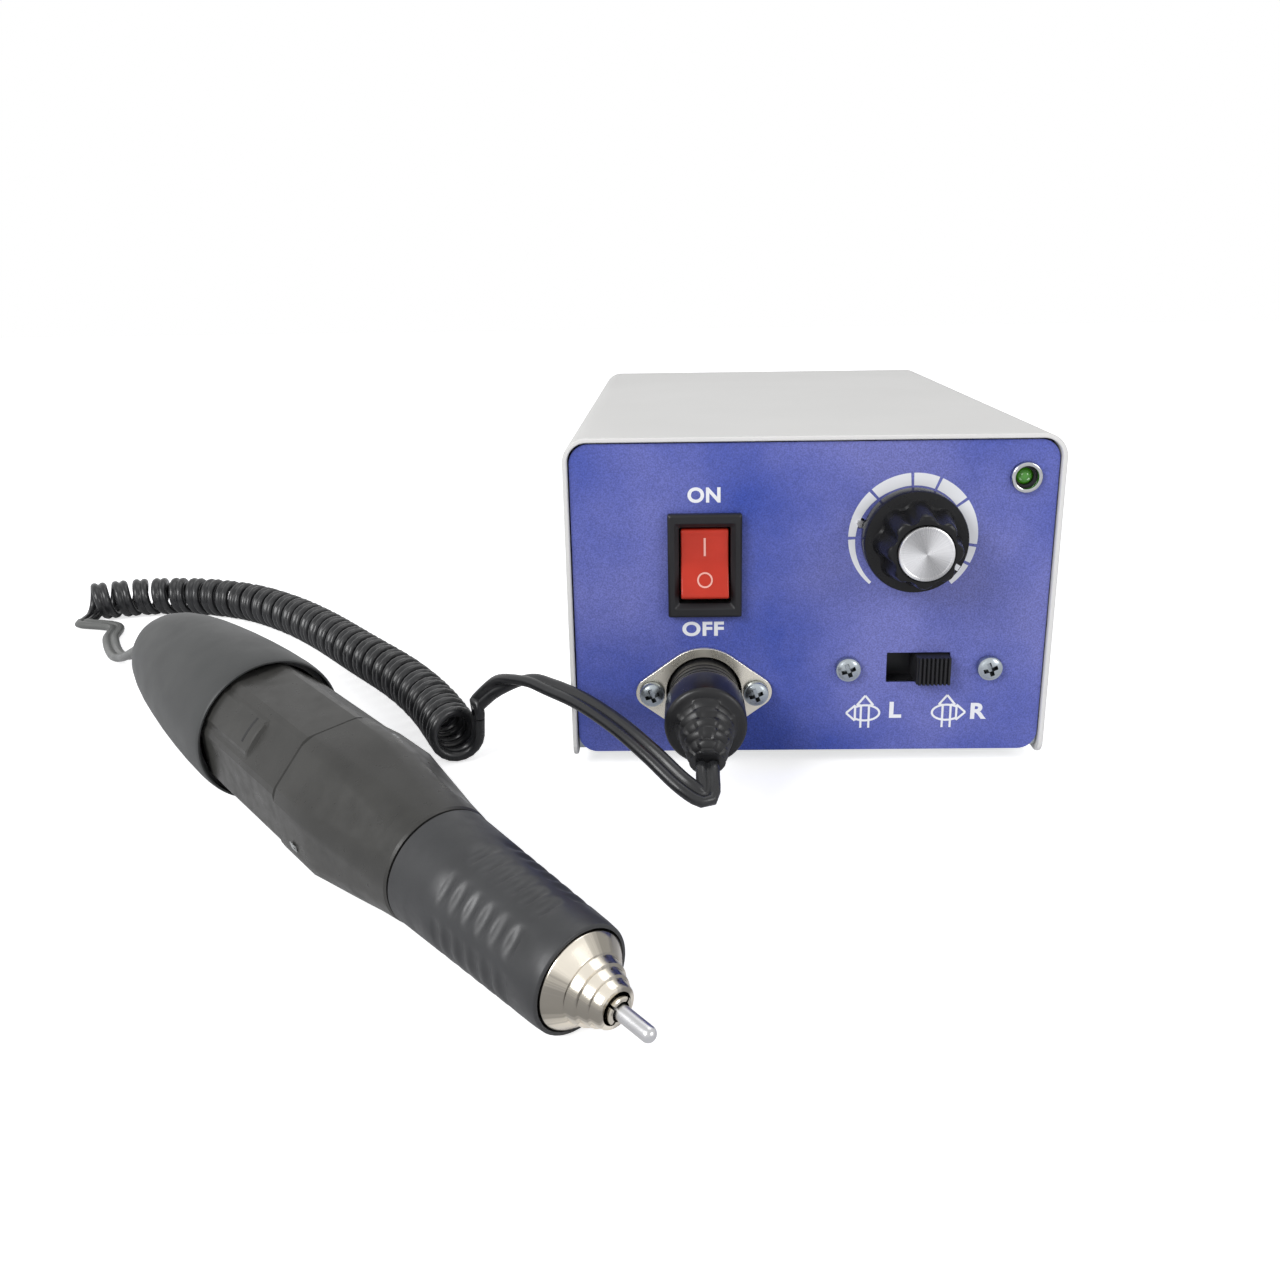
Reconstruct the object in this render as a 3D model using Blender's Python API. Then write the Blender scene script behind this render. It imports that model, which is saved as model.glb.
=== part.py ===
"""A dental laboratory micromotor: the speed control box, its curly cord and the motor handpiece.

Metres, +Z up. The origin is the middle of the box chassis' underside. The front panel looks along
-Y, and +X is to the right of someone who faces it. The handpiece lies on the table in front of the
box, to the left. Every size that can be set by itself is named in the block below.
"""
import math

import bmesh
import bpy
from mathutils import Matrix, Vector

MM = 0.001

# Fits
TOUCH = 0.3 * MM            # gap between two pieces that touch
OVERRUN = 1.0 * MM          # how far a cutter passes the wall that it cuts
SLIDE_CLEARANCE = 0.4 * MM  # gap round a piece that turns or slides
QUARTER = 90.0              # degrees in a quarter turn

# Control box
BOX_WIDTH = 98.4 * MM
BOX_DEPTH = 131.0 * MM
BOX_HEIGHT = 67.2 * MM
CHASSIS_SHEET = 1.2 * MM
CHASSIS_BEND = 2.0 * MM
PANEL_CORNER = 4.0 * MM
SIDE_FLANGE_HEIGHT = 13.0 * MM
OVERLAY_THICKNESS = 0.4 * MM
OVERLAY_REVEAL = 0.1 * MM   # bare strip of chassis below the blue overlay
COVER_SHEET = 1.0 * MM
COVER_BEND = 5.0 * MM
COVER_OVERHANG = 0.8 * MM
COVER_SKIRT = 1.2 * MM      # how far the cover's legs pass the chassis' underside
COVER_TOE = 3.0 * MM
FOOT_HEIGHT = 4.0 * MM
FOOT_RADIUS = 6.0 * MM
FOOT_TAPER = 0.8 * MM
FOOT_RECESS_RADIUS = 2.6 * MM
FOOT_RECESS_DEPTH = 1.6 * MM
FOOT_STEM_RADIUS = 1.8 * MM
FOOT_STEM_REACH = 1.5 * MM
FOOT_INSET_X = 12.0 * MM
FOOT_INSET_Y = 17.0 * MM
VENT_COUNT = 5
VENT_LENGTH = 24.0 * MM
VENT_WIDTH = 2.4 * MM
VENT_PITCH = 6.0 * MM
VENT_GAP = 2.0 * MM         # from the vents to the rating plate
PLATE_WIDTH = 40.0 * MM     # the rating plate's place under the floor, inside a groove
PLATE_LENGTH = 20.0 * MM
PLATE_GROOVE_WIDTH = 0.8 * MM
PLATE_GROOVE_DEPTH = 0.4 * MM

# Screws
SCREW_HEAD_RADIUS = 2.65 * MM
SCREW_HEAD_HEIGHT = 1.7 * MM
SCREW_SHANK_RADIUS = 1.4 * MM
SCREW_LENGTH = 6.0 * MM
SCREW_RECESS_WIDTH = 0.9 * MM
SCREW_RECESS_SPAN = 3.0 * MM
SCREW_RECESS_DEPTH = 0.9 * MM
COVER_SCREW_INSET = 12.0 * MM
COVER_SCREW_RISE = 7.5 * MM

# Rocker switch
SWITCH_X = -21.9 * MM
SWITCH_RISE_SHARE = 0.52542   # middle, between the socket's axis and the panel's top edge
SWITCH_WIDTH = 15.2 * MM
SWITCH_HEIGHT = 21.9 * MM
SWITCH_BEZEL_PROUD = 2.0 * MM
SWITCH_CHAMFER = 1.0 * MM
SWITCH_EDGE = 0.4 * MM
SWITCH_BLADE_WIDTH = 4.8 * MM
SWITCH_BLADE_THICKNESS = 0.8 * MM
SWITCH_BLADE_LENGTH = 8.0 * MM
SWITCH_OPENING_WIDTH = 10.6 * MM
SWITCH_OPENING_HEIGHT = 16.2 * MM
SWITCH_BODY_WIDTH = 13.0 * MM
SWITCH_BODY_HEIGHT = 19.2 * MM
SWITCH_BODY_DEPTH = 15.0 * MM
SWITCH_WELL_DEPTH = 9.0 * MM
ROCKER_WIDTH = 9.8 * MM
ROCKER_LENGTH = 14.6 * MM
ROCKER_PIVOT_DEPTH = 3.4 * MM   # behind the bezel's face
ROCKER_MID_HEIGHT = 2.0 * MM     # face above the pivot, in the middle
ROCKER_EDGE = 0.9 * MM
ROCKER_HALF_ANGLE = math.radians(11.0)
ROCKER_SLEEVE = 3.0 * MM        # depth of the actuator below the pivot

# Speed control
KNOB_INSET = 29.0 * MM       # axis from the box's right side
KNOB_RISE_SHARE = 0.59378     # axis, between the slide switch and the panel's top edge
KNOB_SKIRT_RADIUS = 10.2 * MM
KNOB_SKIRT_HEIGHT = 2.4 * MM
KNOB_SKIRT_EDGE = 0.5 * MM
KNOB_ROOM_RADIUS = 7.2 * MM   # room for the nut under the knob
KNOB_BODY_RADIUS = 8.6 * MM
KNOB_TOP_RADIUS = 7.4 * MM
KNOB_HEIGHT = 14.0 * MM
KNOB_FLUTES = 8
KNOB_FLUTE_DEPTH = 1.1 * MM
KNOB_CAP_RADIUS = 5.4 * MM
KNOB_CAP_PROUD = 0.7 * MM
KNOB_CAP_DEPTH = 1.0 * MM
KNOB_STANDOFF = 1.2 * MM
SHAFT_RADIUS = 3.0 * MM
SHAFT_REACH = 12.5 * MM      # in front of the panel
BUSHING_RADIUS = 4.2 * MM
BUSHING_PROUD = 3.4 * MM
NUT_ACROSS_FLATS = 11.0 * MM
NUT_THICKNESS = 2.0 * MM
POT_RADIUS = 8.2 * MM
POT_DEPTH = 9.0 * MM
POT_TAB_SHEET = 1.0 * MM
POT_PIN_RADIUS = 0.8 * MM
POT_PIN_OFFSET = -10.4 * MM   # from the knob's axis
POT_PIN_RISE = 2.8 * MM
POT_PIN_PROUD = 0.9 * MM

# Power light
LED_INSET = 6.6 * MM          # from the panel's right edge
LED_DROP = 7.6 * MM           # below its top edge
LED_RING_RADIUS = 3.15 * MM
LED_RING_BORE = 2.3 * MM
LED_WALL = 0.5 * MM
LED_RING_PROUD = 1.1 * MM
LED_SLEEVE_DEPTH = 6.0 * MM
LED_RADIUS = 1.75 * MM
LED_FLANGE_RADIUS = 2.15 * MM

# Direction switch
SLOT_INSET = 26.15 * MM     # middle from the box's right side
SLOT_Z = 18.95 * MM
SLOT_WIDTH = 13.3 * MM
SLOT_HEIGHT = 6.6 * MM
SLIDER_WIDTH = 7.0 * MM
SLIDER_PROUD = 3.0 * MM
SLIDER_RIBS = 5
SLIDER_RIB_DEPTH = 0.7 * MM
SLIDE_BODY_HEIGHT = 9.0 * MM
SLIDE_BODY_DEPTH = 7.5 * MM
SLIDE_FRAME_SHEET = 0.8 * MM
SLIDE_WELL_DEPTH = 3.0 * MM
SLIDE_SCREW_PITCH = 29.7 * MM

# Round socket
SOCKET_X = -22.2 * MM
SOCKET_Z = 14.1 * MM
FLANGE_HALF_WIDTH = 14.4 * MM
FLANGE_HALF_HEIGHT = 9.9 * MM
FLANGE_TIP_RADIUS = 3.4 * MM
FLANGE_SHEET = 0.9 * MM
SOCKET_SCREW_PITCH = 21.9 * MM
SOCKET_BORE = 7.95 * MM
SOCKET_SLEEVE_WALL = 0.6 * MM
SOCKET_SLEEVE_DEPTH = 12.0 * MM
SOCKET_INSERT_RADIUS = 6.0 * MM
SOCKET_PIN_HOLE = 0.8 * MM
SOCKET_PIN_CIRCLE = 3.5 * MM
SOCKET_PIN_COUNT = 4
SOCKET_PIN_DEPTH = 5.0 * MM

# Plug on the cord
PLUG_ENTRY = 1.2 * MM        # how far the plug's body enters the sleeve
PLUG_RADIUS = 8.2 * MM
PLUG_NECK_RADIUS = 7.4 * MM
PLUG_BODY_LENGTH = 18.8 * MM
PLUG_COLLAR = 5.0 * MM
PLUG_SHOULDER = 9.5 * MM
PLUG_TAPER = 0.8 * MM
PLUG_GROOVES = 2
PLUG_GROOVE_PITCH = 1.5 * MM
PLUG_GROOVE_DEPTH = 0.4 * MM
PLUG_SHELL_RADIUS = 7.0 * MM
PLUG_SHELL_WALL = 0.5 * MM
PLUG_SHELL_REACH = 7.0 * MM
RELIEF_LENGTH = 11.2 * MM
RELIEF_ROOT_RADIUS = 6.0 * MM
RELIEF_TIP_RADIUS = 3.4 * MM
RELIEF_RIBS = 4
RELIEF_DROOP = math.radians(24.0)

# Cord
LOBE = 2.25 * MM             # diameter of each of the cord's two cores
CORD_WIDTH = 2 * LOBE
COIL_RADIUS = 4.75 * MM      # middle of the curl to the middle of the cord
CURLS = 31.25
POINTS_PER_CURL = 8
CORD_REST = 0.15 * MM        # the cord lies this far above the table

# Handpiece: stations along its axis, counted from the rear cap's lip, forward positive
TABLE_Z = -FOOT_HEIGHT
LIP_X = -104.3 * MM
LIP_Y = -84.3 * MM
HEADING = math.radians(-45.5)
CAP_REAR = -70.0 * MM
CAP_BELLY = -14.0 * MM
CAP_BELLY_RADIUS = 15.2 * MM
CAP_LIP = -9.7 * MM
CAP_LIP_RADIUS = 15.0 * MM
CAP_REAR_RADIUS = 4.6 * MM
CAP_WALL = 1.6 * MM
CAP_BORE_RADIUS = 2.7 * MM
CAP_LIP_EDGE = 0.5 * MM
CAP_RECESS = 2.5 * MM         # counterbore behind the lip
CAP_STATION_SHARES = ((1.0, 0.0), (0.97, 0.22), (0.90, 0.45), (0.79, 0.66), (0.60, 0.83), (0.40, 0.94))
HOUSING_REAR = -22.0 * MM
HOUSING_ROUND = 13.7 * MM
HOUSING_FLAT = 12.9 * MM
FIRST_FLAT = math.radians(5.0)
HOUSING_SPIGOT = 12.8 * MM
HOUSING_BORE = 11.6 * MM
RING_REAR = 21.4 * MM
RING_ROUND = 14.0 * MM
RING_FLAT = 13.5 * MM
RING_EDGE = 0.4 * MM
RING_SHOULDER = 33.0 * MM
RING_NECK = 44.0 * MM
RING_NECK_ROUND = 11.9 * MM
RING_FRONT = 54.0 * MM
RING_FRONT_ROUND = 10.3 * MM
TAB_HALF_ANGLE = math.radians(15.4)
TAB_LENGTH = 8.0 * MM
TAB_RADIUS = 13.8 * MM
TAB_FADE = 0.4 * MM
TAB_ANGLE = FIRST_FLAT + math.pi / 4
COLLAR_REACH = 11.9 * MM      # housing spigot inside the chuck ring
COLLAR_RADIUS = 11.9 * MM
GRIP_REAR_RADIUS = 10.2 * MM
GRIP_FRONT = 90.0 * MM
GRIP_EDGE = 88.0 * MM
GRIP_EDGE_RADIUS = 8.6 * MM
GRIP_FRONT_RADIUS = 8.4 * MM
GRIP_LIP_EDGE = 0.2 * MM
GRIP_SPIGOT = 8.6 * MM
GRIP_BORE = 5.6 * MM
GRIP_GROOVES = 6
GRIP_GROOVE_DEPTH = 0.5 * MM
GRIP_GROOVE_START = 67.0 * MM
GRIP_GROOVE_PITCH = 3.2 * MM
NOSE_BASE_RADIUS = 7.5 * MM
NOSE_FRONT = 97.6 * MM
NOSE_TIP_RADIUS = 3.1 * MM
NOSE_STEPS = 3
NOSE_SPIGOT_RADIUS = 5.3 * MM
NOSE_SEAT = 2.0 * MM
NOSE_CONE = 2.6 * MM
NOSE_SHOULDER_RADIUS = 5.4 * MM
NOSE_SPIGOT = 4.0 * MM
NOSE_BORE = 2.5 * MM
COLLET_RADIUS = 2.1 * MM
COLLET_FRONT = 98.4 * MM
COLLET_LENGTH = 22.0 * MM
COLLET_SLITS = 4
COLLET_SLIT_WIDTH = 0.4 * MM
COLLET_SLIT_LENGTH = 9.0 * MM
MANDREL_RADIUS = 1.175 * MM
MANDREL_TIP = 105.0 * MM
MANDREL_LENGTH = 26.0 * MM
MANDREL_DOME_STEPS = 3
SPINDLE_RADIUS = 3.4 * MM
SPINDLE_BORE = 2.4 * MM
SPINDLE_REAR = 40.0 * MM
SPINDLE_FRONT = 83.8 * MM
BALL_RACE_OUTER = 5.4 * MM
BALL_RACE_WIDTH = 5.0 * MM
FRONT_RACE = 80.0 * MM
REAR_RACE = 60.0 * MM
SPRING_WIRE = 0.9 * MM
SPRING_TURNS = 3
COUPLING_RADIUS = 4.4 * MM
MOTOR_SHAFT_RADIUS = 1.6 * MM
MAGNET_OUTER = 11.2 * MM
MAGNET_INNER = 8.6 * MM
MAGNET_FRONT = 18.0 * MM
MAGNET_LENGTH = 30.0 * MM
ARMATURE_RADIUS = 8.2 * MM
ARMATURE_SLOTS = 9
ARMATURE_SLOT_WIDTH = 1.6 * MM
ARMATURE_SLOT_DEPTH = 2.0 * MM
ARMATURE_LENGTH = 26.0 * MM
COMMUTATOR_RADIUS = 4.0 * MM
COMMUTATOR_LENGTH = 7.0 * MM
COMMUTATOR_GAP = 2.0 * MM
BRUSH_WIDTH = 3.0 * MM
BRUSH_DEPTH = 4.0 * MM
END_BELL_THICKNESS = 2.7 * MM
END_BELL_WALL = 2.1 * MM
REAR_RACE_OUTER = 3.3 * MM
END_PLATE = 2.4 * MM

# Behind the rear panel and inside the box
INLET_INSET = 21.2 * MM       # middle from the panel's edge
INLET_Z = 22.0 * MM
INLET_WIDTH = 30.0 * MM
INLET_HEIGHT = 24.0 * MM
INLET_FLANGE = 2.4 * MM
INLET_BODY_WIDTH = 27.0 * MM
INLET_BODY_HEIGHT = 19.4 * MM
INLET_BODY_DEPTH = 18.0 * MM
INLET_WELL_WIDTH = 24.0 * MM
INLET_WELL_HEIGHT = 16.4 * MM
INLET_WELL_DEPTH = 15.0 * MM
INLET_PIN_WIDTH = 2.0 * MM
INLET_PIN_HEIGHT = 4.0 * MM
INLET_PIN_LENGTH = 11.0 * MM
INLET_PIN_PITCH = 7.0 * MM
INLET_EARTH_RISE = 1.5 * MM
FUSE_X = 0.0
FUSE_Z = 44.0 * MM
FUSE_RADIUS = 6.2 * MM
FUSE_BODY_LENGTH = 26.0 * MM
FUSE_FLANGE_RADIUS = 7.6 * MM
FUSE_FLANGE = 2.2 * MM
FUSE_BORE = 4.6 * MM
FUSE_CAP_RADIUS = 6.6 * MM
FUSE_CAP_HEIGHT = 5.0 * MM
FUSE_CAP_STEM = 12.0 * MM
FUSE_SLOT_WIDTH = 1.2 * MM
JACK_INSET = 19.2 * MM        # middle from the panel's edge
JACK_Z = 22.0 * MM
JACK_RADIUS = 7.2 * MM
JACK_PROUD = 3.0 * MM
JACK_BORE = 3.2 * MM
JACK_WALL = 1.6 * MM
JACK_DEPTH = 24.0 * MM
JACK_BODY_WIDTH = 15.0 * MM
CORE_WIDTH = 42.0 * MM
CORE_DEPTH = 24.0 * MM
CORE_HEIGHT = 40.0 * MM
CORE_INSET = 33.2 * MM        # middle from the box's right side
CORE_SETBACK = 53.5 * MM      # middle from the rear panel
CORE_LEG = 7.0 * MM
COIL_BULGE = 9.0 * MM
BRACKET_SHEET = 1.2 * MM
BRACKET_FOOT = 9.0 * MM
BOARD_REAR_SPACE = 18.5 * MM  # from the rear panel
BOARD_FRONT_SPACE = 28.5 * MM
BOARD_SIDE_SPACE = 3.7 * MM
BOARD_CORE_SPACE = 6.5 * MM   # to the transformer's core
BOARD_THICKNESS = 1.6 * MM
PILLAR_HEIGHT = 6.0 * MM
PILLAR_RADIUS = 2.2 * MM
PILLAR_INSET = 4.0 * MM
CAPACITOR_RADIUS = 8.0 * MM
CAPACITOR_HEIGHT = 25.0 * MM

# Places worked out from the sizes above
HALF_WIDTH = BOX_WIDTH / 2
HALF_DEPTH = BOX_DEPTH / 2
FRONT_Y = -HALF_DEPTH - OVERLAY_THICKNESS - TOUCH
COVER_HALF = HALF_WIDTH + TOUCH + COVER_SHEET
COVER_TOP = BOX_HEIGHT + TOUCH + COVER_SHEET
COVER_HALF_DEPTH = -FRONT_Y + COVER_OVERHANG
TILT = math.atan((CAP_BELLY_RADIUS - GRIP_EDGE_RADIUS) / (GRIP_EDGE - CAP_BELLY))
LED_SLEEVE_RADIUS = LED_RING_BORE + LED_WALL
JACK_NECK_RADIUS = JACK_BORE + JACK_WALL
SWITCH_Z = SOCKET_Z + (BOX_HEIGHT - SOCKET_Z) * SWITCH_RISE_SHARE
SLOT_X = HALF_WIDTH - SLOT_INSET
KNOB_X = HALF_WIDTH - KNOB_INSET
KNOB_Z = SLOT_Z + (BOX_HEIGHT - SLOT_Z) * KNOB_RISE_SHARE
POT_PIN_X = KNOB_X + POT_PIN_OFFSET
POT_PIN_Z = KNOB_Z + POT_PIN_RISE
LED_X = HALF_WIDTH - LED_INSET
LED_Z = BOX_HEIGHT - LED_DROP
INLET_X = HALF_WIDTH - INLET_INSET
JACK_X = JACK_INSET - HALF_WIDTH
CORE_X = HALF_WIDTH - CORE_INSET
CORE_Y = HALF_DEPTH - CORE_SETBACK
BOARD_LENGTH = BOX_DEPTH - BOARD_REAR_SPACE - BOARD_FRONT_SPACE
BOARD_Y = (BOARD_FRONT_SPACE - BOARD_REAR_SPACE) / 2
BOARD_LEFT = BOARD_SIDE_SPACE - HALF_WIDTH
BOARD_RIGHT = CORE_X - CORE_WIDTH / 2 - BOARD_CORE_SPACE
BOARD_WIDTH = BOARD_RIGHT - BOARD_LEFT
BOARD_X = (BOARD_LEFT + BOARD_RIGHT) / 2


def material(name, colour, roughness=0.5, metallic=0.0):
    """A Principled material of one colour."""
    made = bpy.data.materials.get(name) or bpy.data.materials.new(name)
    made.use_nodes = True
    shader = made.node_tree.nodes["Principled BSDF"]
    shader.inputs["Base Color"].default_value = (*colour, 1.0)
    shader.inputs["Roughness"].default_value = roughness
    shader.inputs["Metallic"].default_value = metallic
    return made


PAINT = ("cover paint", (0.76, 0.75, 0.72), 0.32, 0.0)
ZINC = ("zinc plate", (0.62, 0.64, 0.66), 0.38, 0.9)
BLUE = ("blue overlay", (0.05, 0.08, 0.40), 0.42, 0.0)
BLACK = ("black moulding", (0.03, 0.03, 0.032), 0.45, 0.0)
RUBBER = ("black rubber", (0.035, 0.035, 0.035), 0.8, 0.0)
RED = ("red rocker", (0.62, 0.05, 0.03), 0.35, 0.0)
CHROME = ("chrome", (0.80, 0.80, 0.80), 0.12, 1.0)
NICKEL = ("nickel", (0.76, 0.72, 0.63), 0.25, 1.0)
ALUMINIUM = ("turned aluminium", (0.88, 0.88, 0.88), 0.25, 1.0)
STEEL = ("steel", (0.55, 0.55, 0.55), 0.3, 1.0)
COPPER = ("copper winding", (0.70, 0.32, 0.12), 0.4, 0.9)
CARBON = ("carbon", (0.05, 0.05, 0.055), 0.6, 0.1)
FERRITE = ("ferrite", (0.07, 0.07, 0.075), 0.7, 0.1)
GREEN = ("green light", (0.10, 0.45, 0.04), 0.25, 0.0)
BOARD_GREEN = ("circuit board", (0.03, 0.20, 0.08), 0.5, 0.0)
CAP_GREY = ("rear cap grey", (0.13, 0.13, 0.125), 0.5, 0.0)
BODY_GREY = ("handpiece grey", (0.09, 0.095, 0.095), 0.5, 0.0)
CORD_BLACK = ("cord", (0.035, 0.037, 0.042), 0.3, 0.0)
LEAD_GREY = ("lead grey", (0.22, 0.22, 0.21), 0.45, 0.0)


def finish(bm, name, finish_of, parent=None, place=(0, 0, 0)):
    """Turn a bmesh into an object with its normals out, its material and its round faces smooth."""
    bmesh.ops.remove_doubles(bm, verts=bm.verts, dist=TOUCH / 300)
    bmesh.ops.recalc_face_normals(bm, faces=bm.faces)
    mesh = bpy.data.meshes.new(name)
    bm.to_mesh(mesh)
    bm.free()
    mesh.shade_smooth()
    mesh.set_sharp_from_angle(angle=math.radians(32))
    made = bpy.data.objects.new(name, mesh)
    if finish_of:
        made.data.materials.append(material(*finish_of))
    made.parent = parent
    made.location = place
    bpy.context.scene.collection.objects.link(made)
    return made


def cut(target, bm, parent=None, place=(0, 0, 0), union=False):
    """Cut a bmesh's shapes out of a piece, or join them to it, with a Boolean."""
    tool = finish(bm, target.name + "_cutter_%d" % len(target.modifiers), None, parent, place)
    tool.hide_render = True
    tool.display_type = "WIRE"
    change = target.modifiers.new("Boolean", "BOOLEAN")
    change.operation = "UNION" if union else "DIFFERENCE"
    change.object = tool
    return target


def frame(name, location, rotation):
    """An empty that carries the pieces of one side."""
    made = bpy.data.objects.new(name, None)
    made.location = location
    made.rotation_euler = rotation
    bpy.context.scene.collection.objects.link(made)
    return made


def arc(cx, cy, radius, start, end, steps):
    """Points on an arc, both ends in; angles in degrees."""
    turn = [math.radians(start + (end - start) * i / steps) for i in range(steps + 1)]
    return [(cx + radius * math.cos(t), cy + radius * math.sin(t)) for t in turn]


def circle(radius, sides=24, x=0.0, y=0.0):
    """A closed circle as points."""
    return arc(x, y, radius, 0, 360, sides)[:-1]


def rectangle(width, height, radius=0.0, x=0.0, y=0.0, steps=3):
    """A rectangle with round corners, counter-clockwise."""
    w, h = width / 2, height / 2
    if radius <= 0:
        return [(x - w, y - h), (x + w, y - h), (x + w, y + h), (x - w, y + h)]
    w, h = w - radius, h - radius
    corners = ((w, h), (-w, h), (-w, -h), (w, -h))
    points = []
    for i, (cx, cy) in enumerate(corners):
        points += arc(x + cx, y + cy, radius, i * QUARTER, (i + 1) * QUARTER, steps)
    return points


def prism(bm, outline, low, high, turn=None):
    """Add an outline extruded from low to high along Z to a bmesh."""
    turn = turn or Matrix()
    floor = [bm.verts.new(turn @ Vector((x, y, low))) for x, y in outline]
    roof = [bm.verts.new(turn @ Vector((x, y, high))) for x, y in outline]
    bm.faces.new(list(reversed(floor)))
    bm.faces.new(roof)
    count = len(outline)
    for i in range(count):
        j = (i + 1) % count
        bm.faces.new((floor[i], floor[j], roof[j], roof[i]))
    return bm


def skin(bm, loops, closed=False, turn=None):
    """Join loops of points into a solid: capped at its ends, or closed on itself as a tube wall."""
    turn = turn or Matrix()
    rows = [[bm.verts.new(turn @ Vector(p)) for p in loop] for loop in loops]
    count = len(rows[0])
    pairs = list(zip(rows, rows[1:]))
    if closed:
        pairs.append((rows[-1], rows[0]))
    for low, high in pairs:
        for i in range(count):
            j = (i + 1) % count
            bm.faces.new((low[i], low[j], high[j], high[i]))
    if not closed:
        bm.faces.new(list(reversed(rows[0])))
        bm.faces.new(rows[-1])
    return bm


def turned(bm, profile, sides=24, x=0.0, y=0.0, turn=None):
    """Turn a profile of (radius, height) about Z; a profile off the axis makes a ring."""
    on_axis = profile[0][0] == 0
    rows = profile[1:-1] if on_axis else profile
    loops = [[(px, py, z) for px, py in circle(r, sides, x, y)] for r, z in rows]
    return skin(bm, loops, closed=not on_axis, turn=turn)


def solid(outline, low, high):
    """A new bmesh with one prism."""
    return prism(bmesh.new(), outline, low, high)


def lathe(name, profile, finish_of, parent=None, place=(0, 0, 0), sides=24):
    """A turned piece."""
    return finish(turned(bmesh.new(), profile, sides), name, finish_of, parent, place)




def slot(length, width, x=0.0, y=0.0):
    """A straight slot with round ends, along Y."""
    r, h = width / 2, (length - width) / 2
    return arc(x, y + h, r, 0, 180, 3) + arc(x, y - h, r, 180, 360, 3)


def corner_waste(x, y, radius, sx, sy):
    """What a round corner takes off a square one at (x, y); sx and sy point outwards."""
    start = {(1, 1): 0, (-1, 1): 90, (-1, -1): 180, (1, -1): 270}[(sx, sy)]
    rim = arc(x - sx * radius, y - sy * radius, radius, start, start + 90, 4)
    x_side = (x + sx * OVERRUN, y - sy * radius)
    y_side = (x - sx * radius, y + sy * OVERRUN)
    far = (x + sx * OVERRUN, y + sy * OVERRUN)
    return rim + ([y_side, far, x_side] if sx * sy > 0 else [x_side, far, y_side])


def front_holes(bm, grow, low, high):
    """The front panel's openings; grow widens them for the sheet behind the overlay."""
    def hole(outline):
        prism(bm, outline, low, high)

    hole(rectangle(SWITCH_BODY_WIDTH + 2 * TOUCH, SWITCH_BODY_HEIGHT + 2 * TOUCH, 0, SWITCH_X, SWITCH_Z))
    hole(circle(BUSHING_RADIUS + TOUCH, 16, KNOB_X, KNOB_Z))
    hole(circle(POT_PIN_RADIUS + TOUCH, 8, POT_PIN_X, POT_PIN_Z))
    hole(circle(LED_SLEEVE_RADIUS + TOUCH, 16, LED_X, LED_Z))
    hole(rectangle(SLOT_WIDTH + 2 * grow, SLOT_HEIGHT + 2 * grow, 0, SLOT_X, SLOT_Z))
    hole(circle(SOCKET_BORE + SOCKET_SLEEVE_WALL + TOUCH, 20, SOCKET_X, SOCKET_Z))
    for side in (-1, 1):
        hole(circle(SCREW_SHANK_RADIUS + TOUCH, 8, SLOT_X + side * SLIDE_SCREW_PITCH / 2, SLOT_Z))
        hole(circle(SCREW_SHANK_RADIUS + TOUCH, 8, SOCKET_X + side * SOCKET_SCREW_PITCH / 2, SOCKET_Z))
    return bm


def rear_holes(bm, low, high):
    """The rear panel's openings, in the rear frame where X runs the other way."""
    prism(bm, rectangle(INLET_BODY_WIDTH + 2 * TOUCH, INLET_BODY_HEIGHT + 2 * TOUCH, 0, INLET_X, INLET_Z),
          low, high)
    prism(bm, circle(FUSE_RADIUS + TOUCH, 16, FUSE_X, FUSE_Z), low, high)
    prism(bm, circle(JACK_NECK_RADIUS + TOUCH, 16, JACK_X, JACK_Z), low, high)
    return bm


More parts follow.
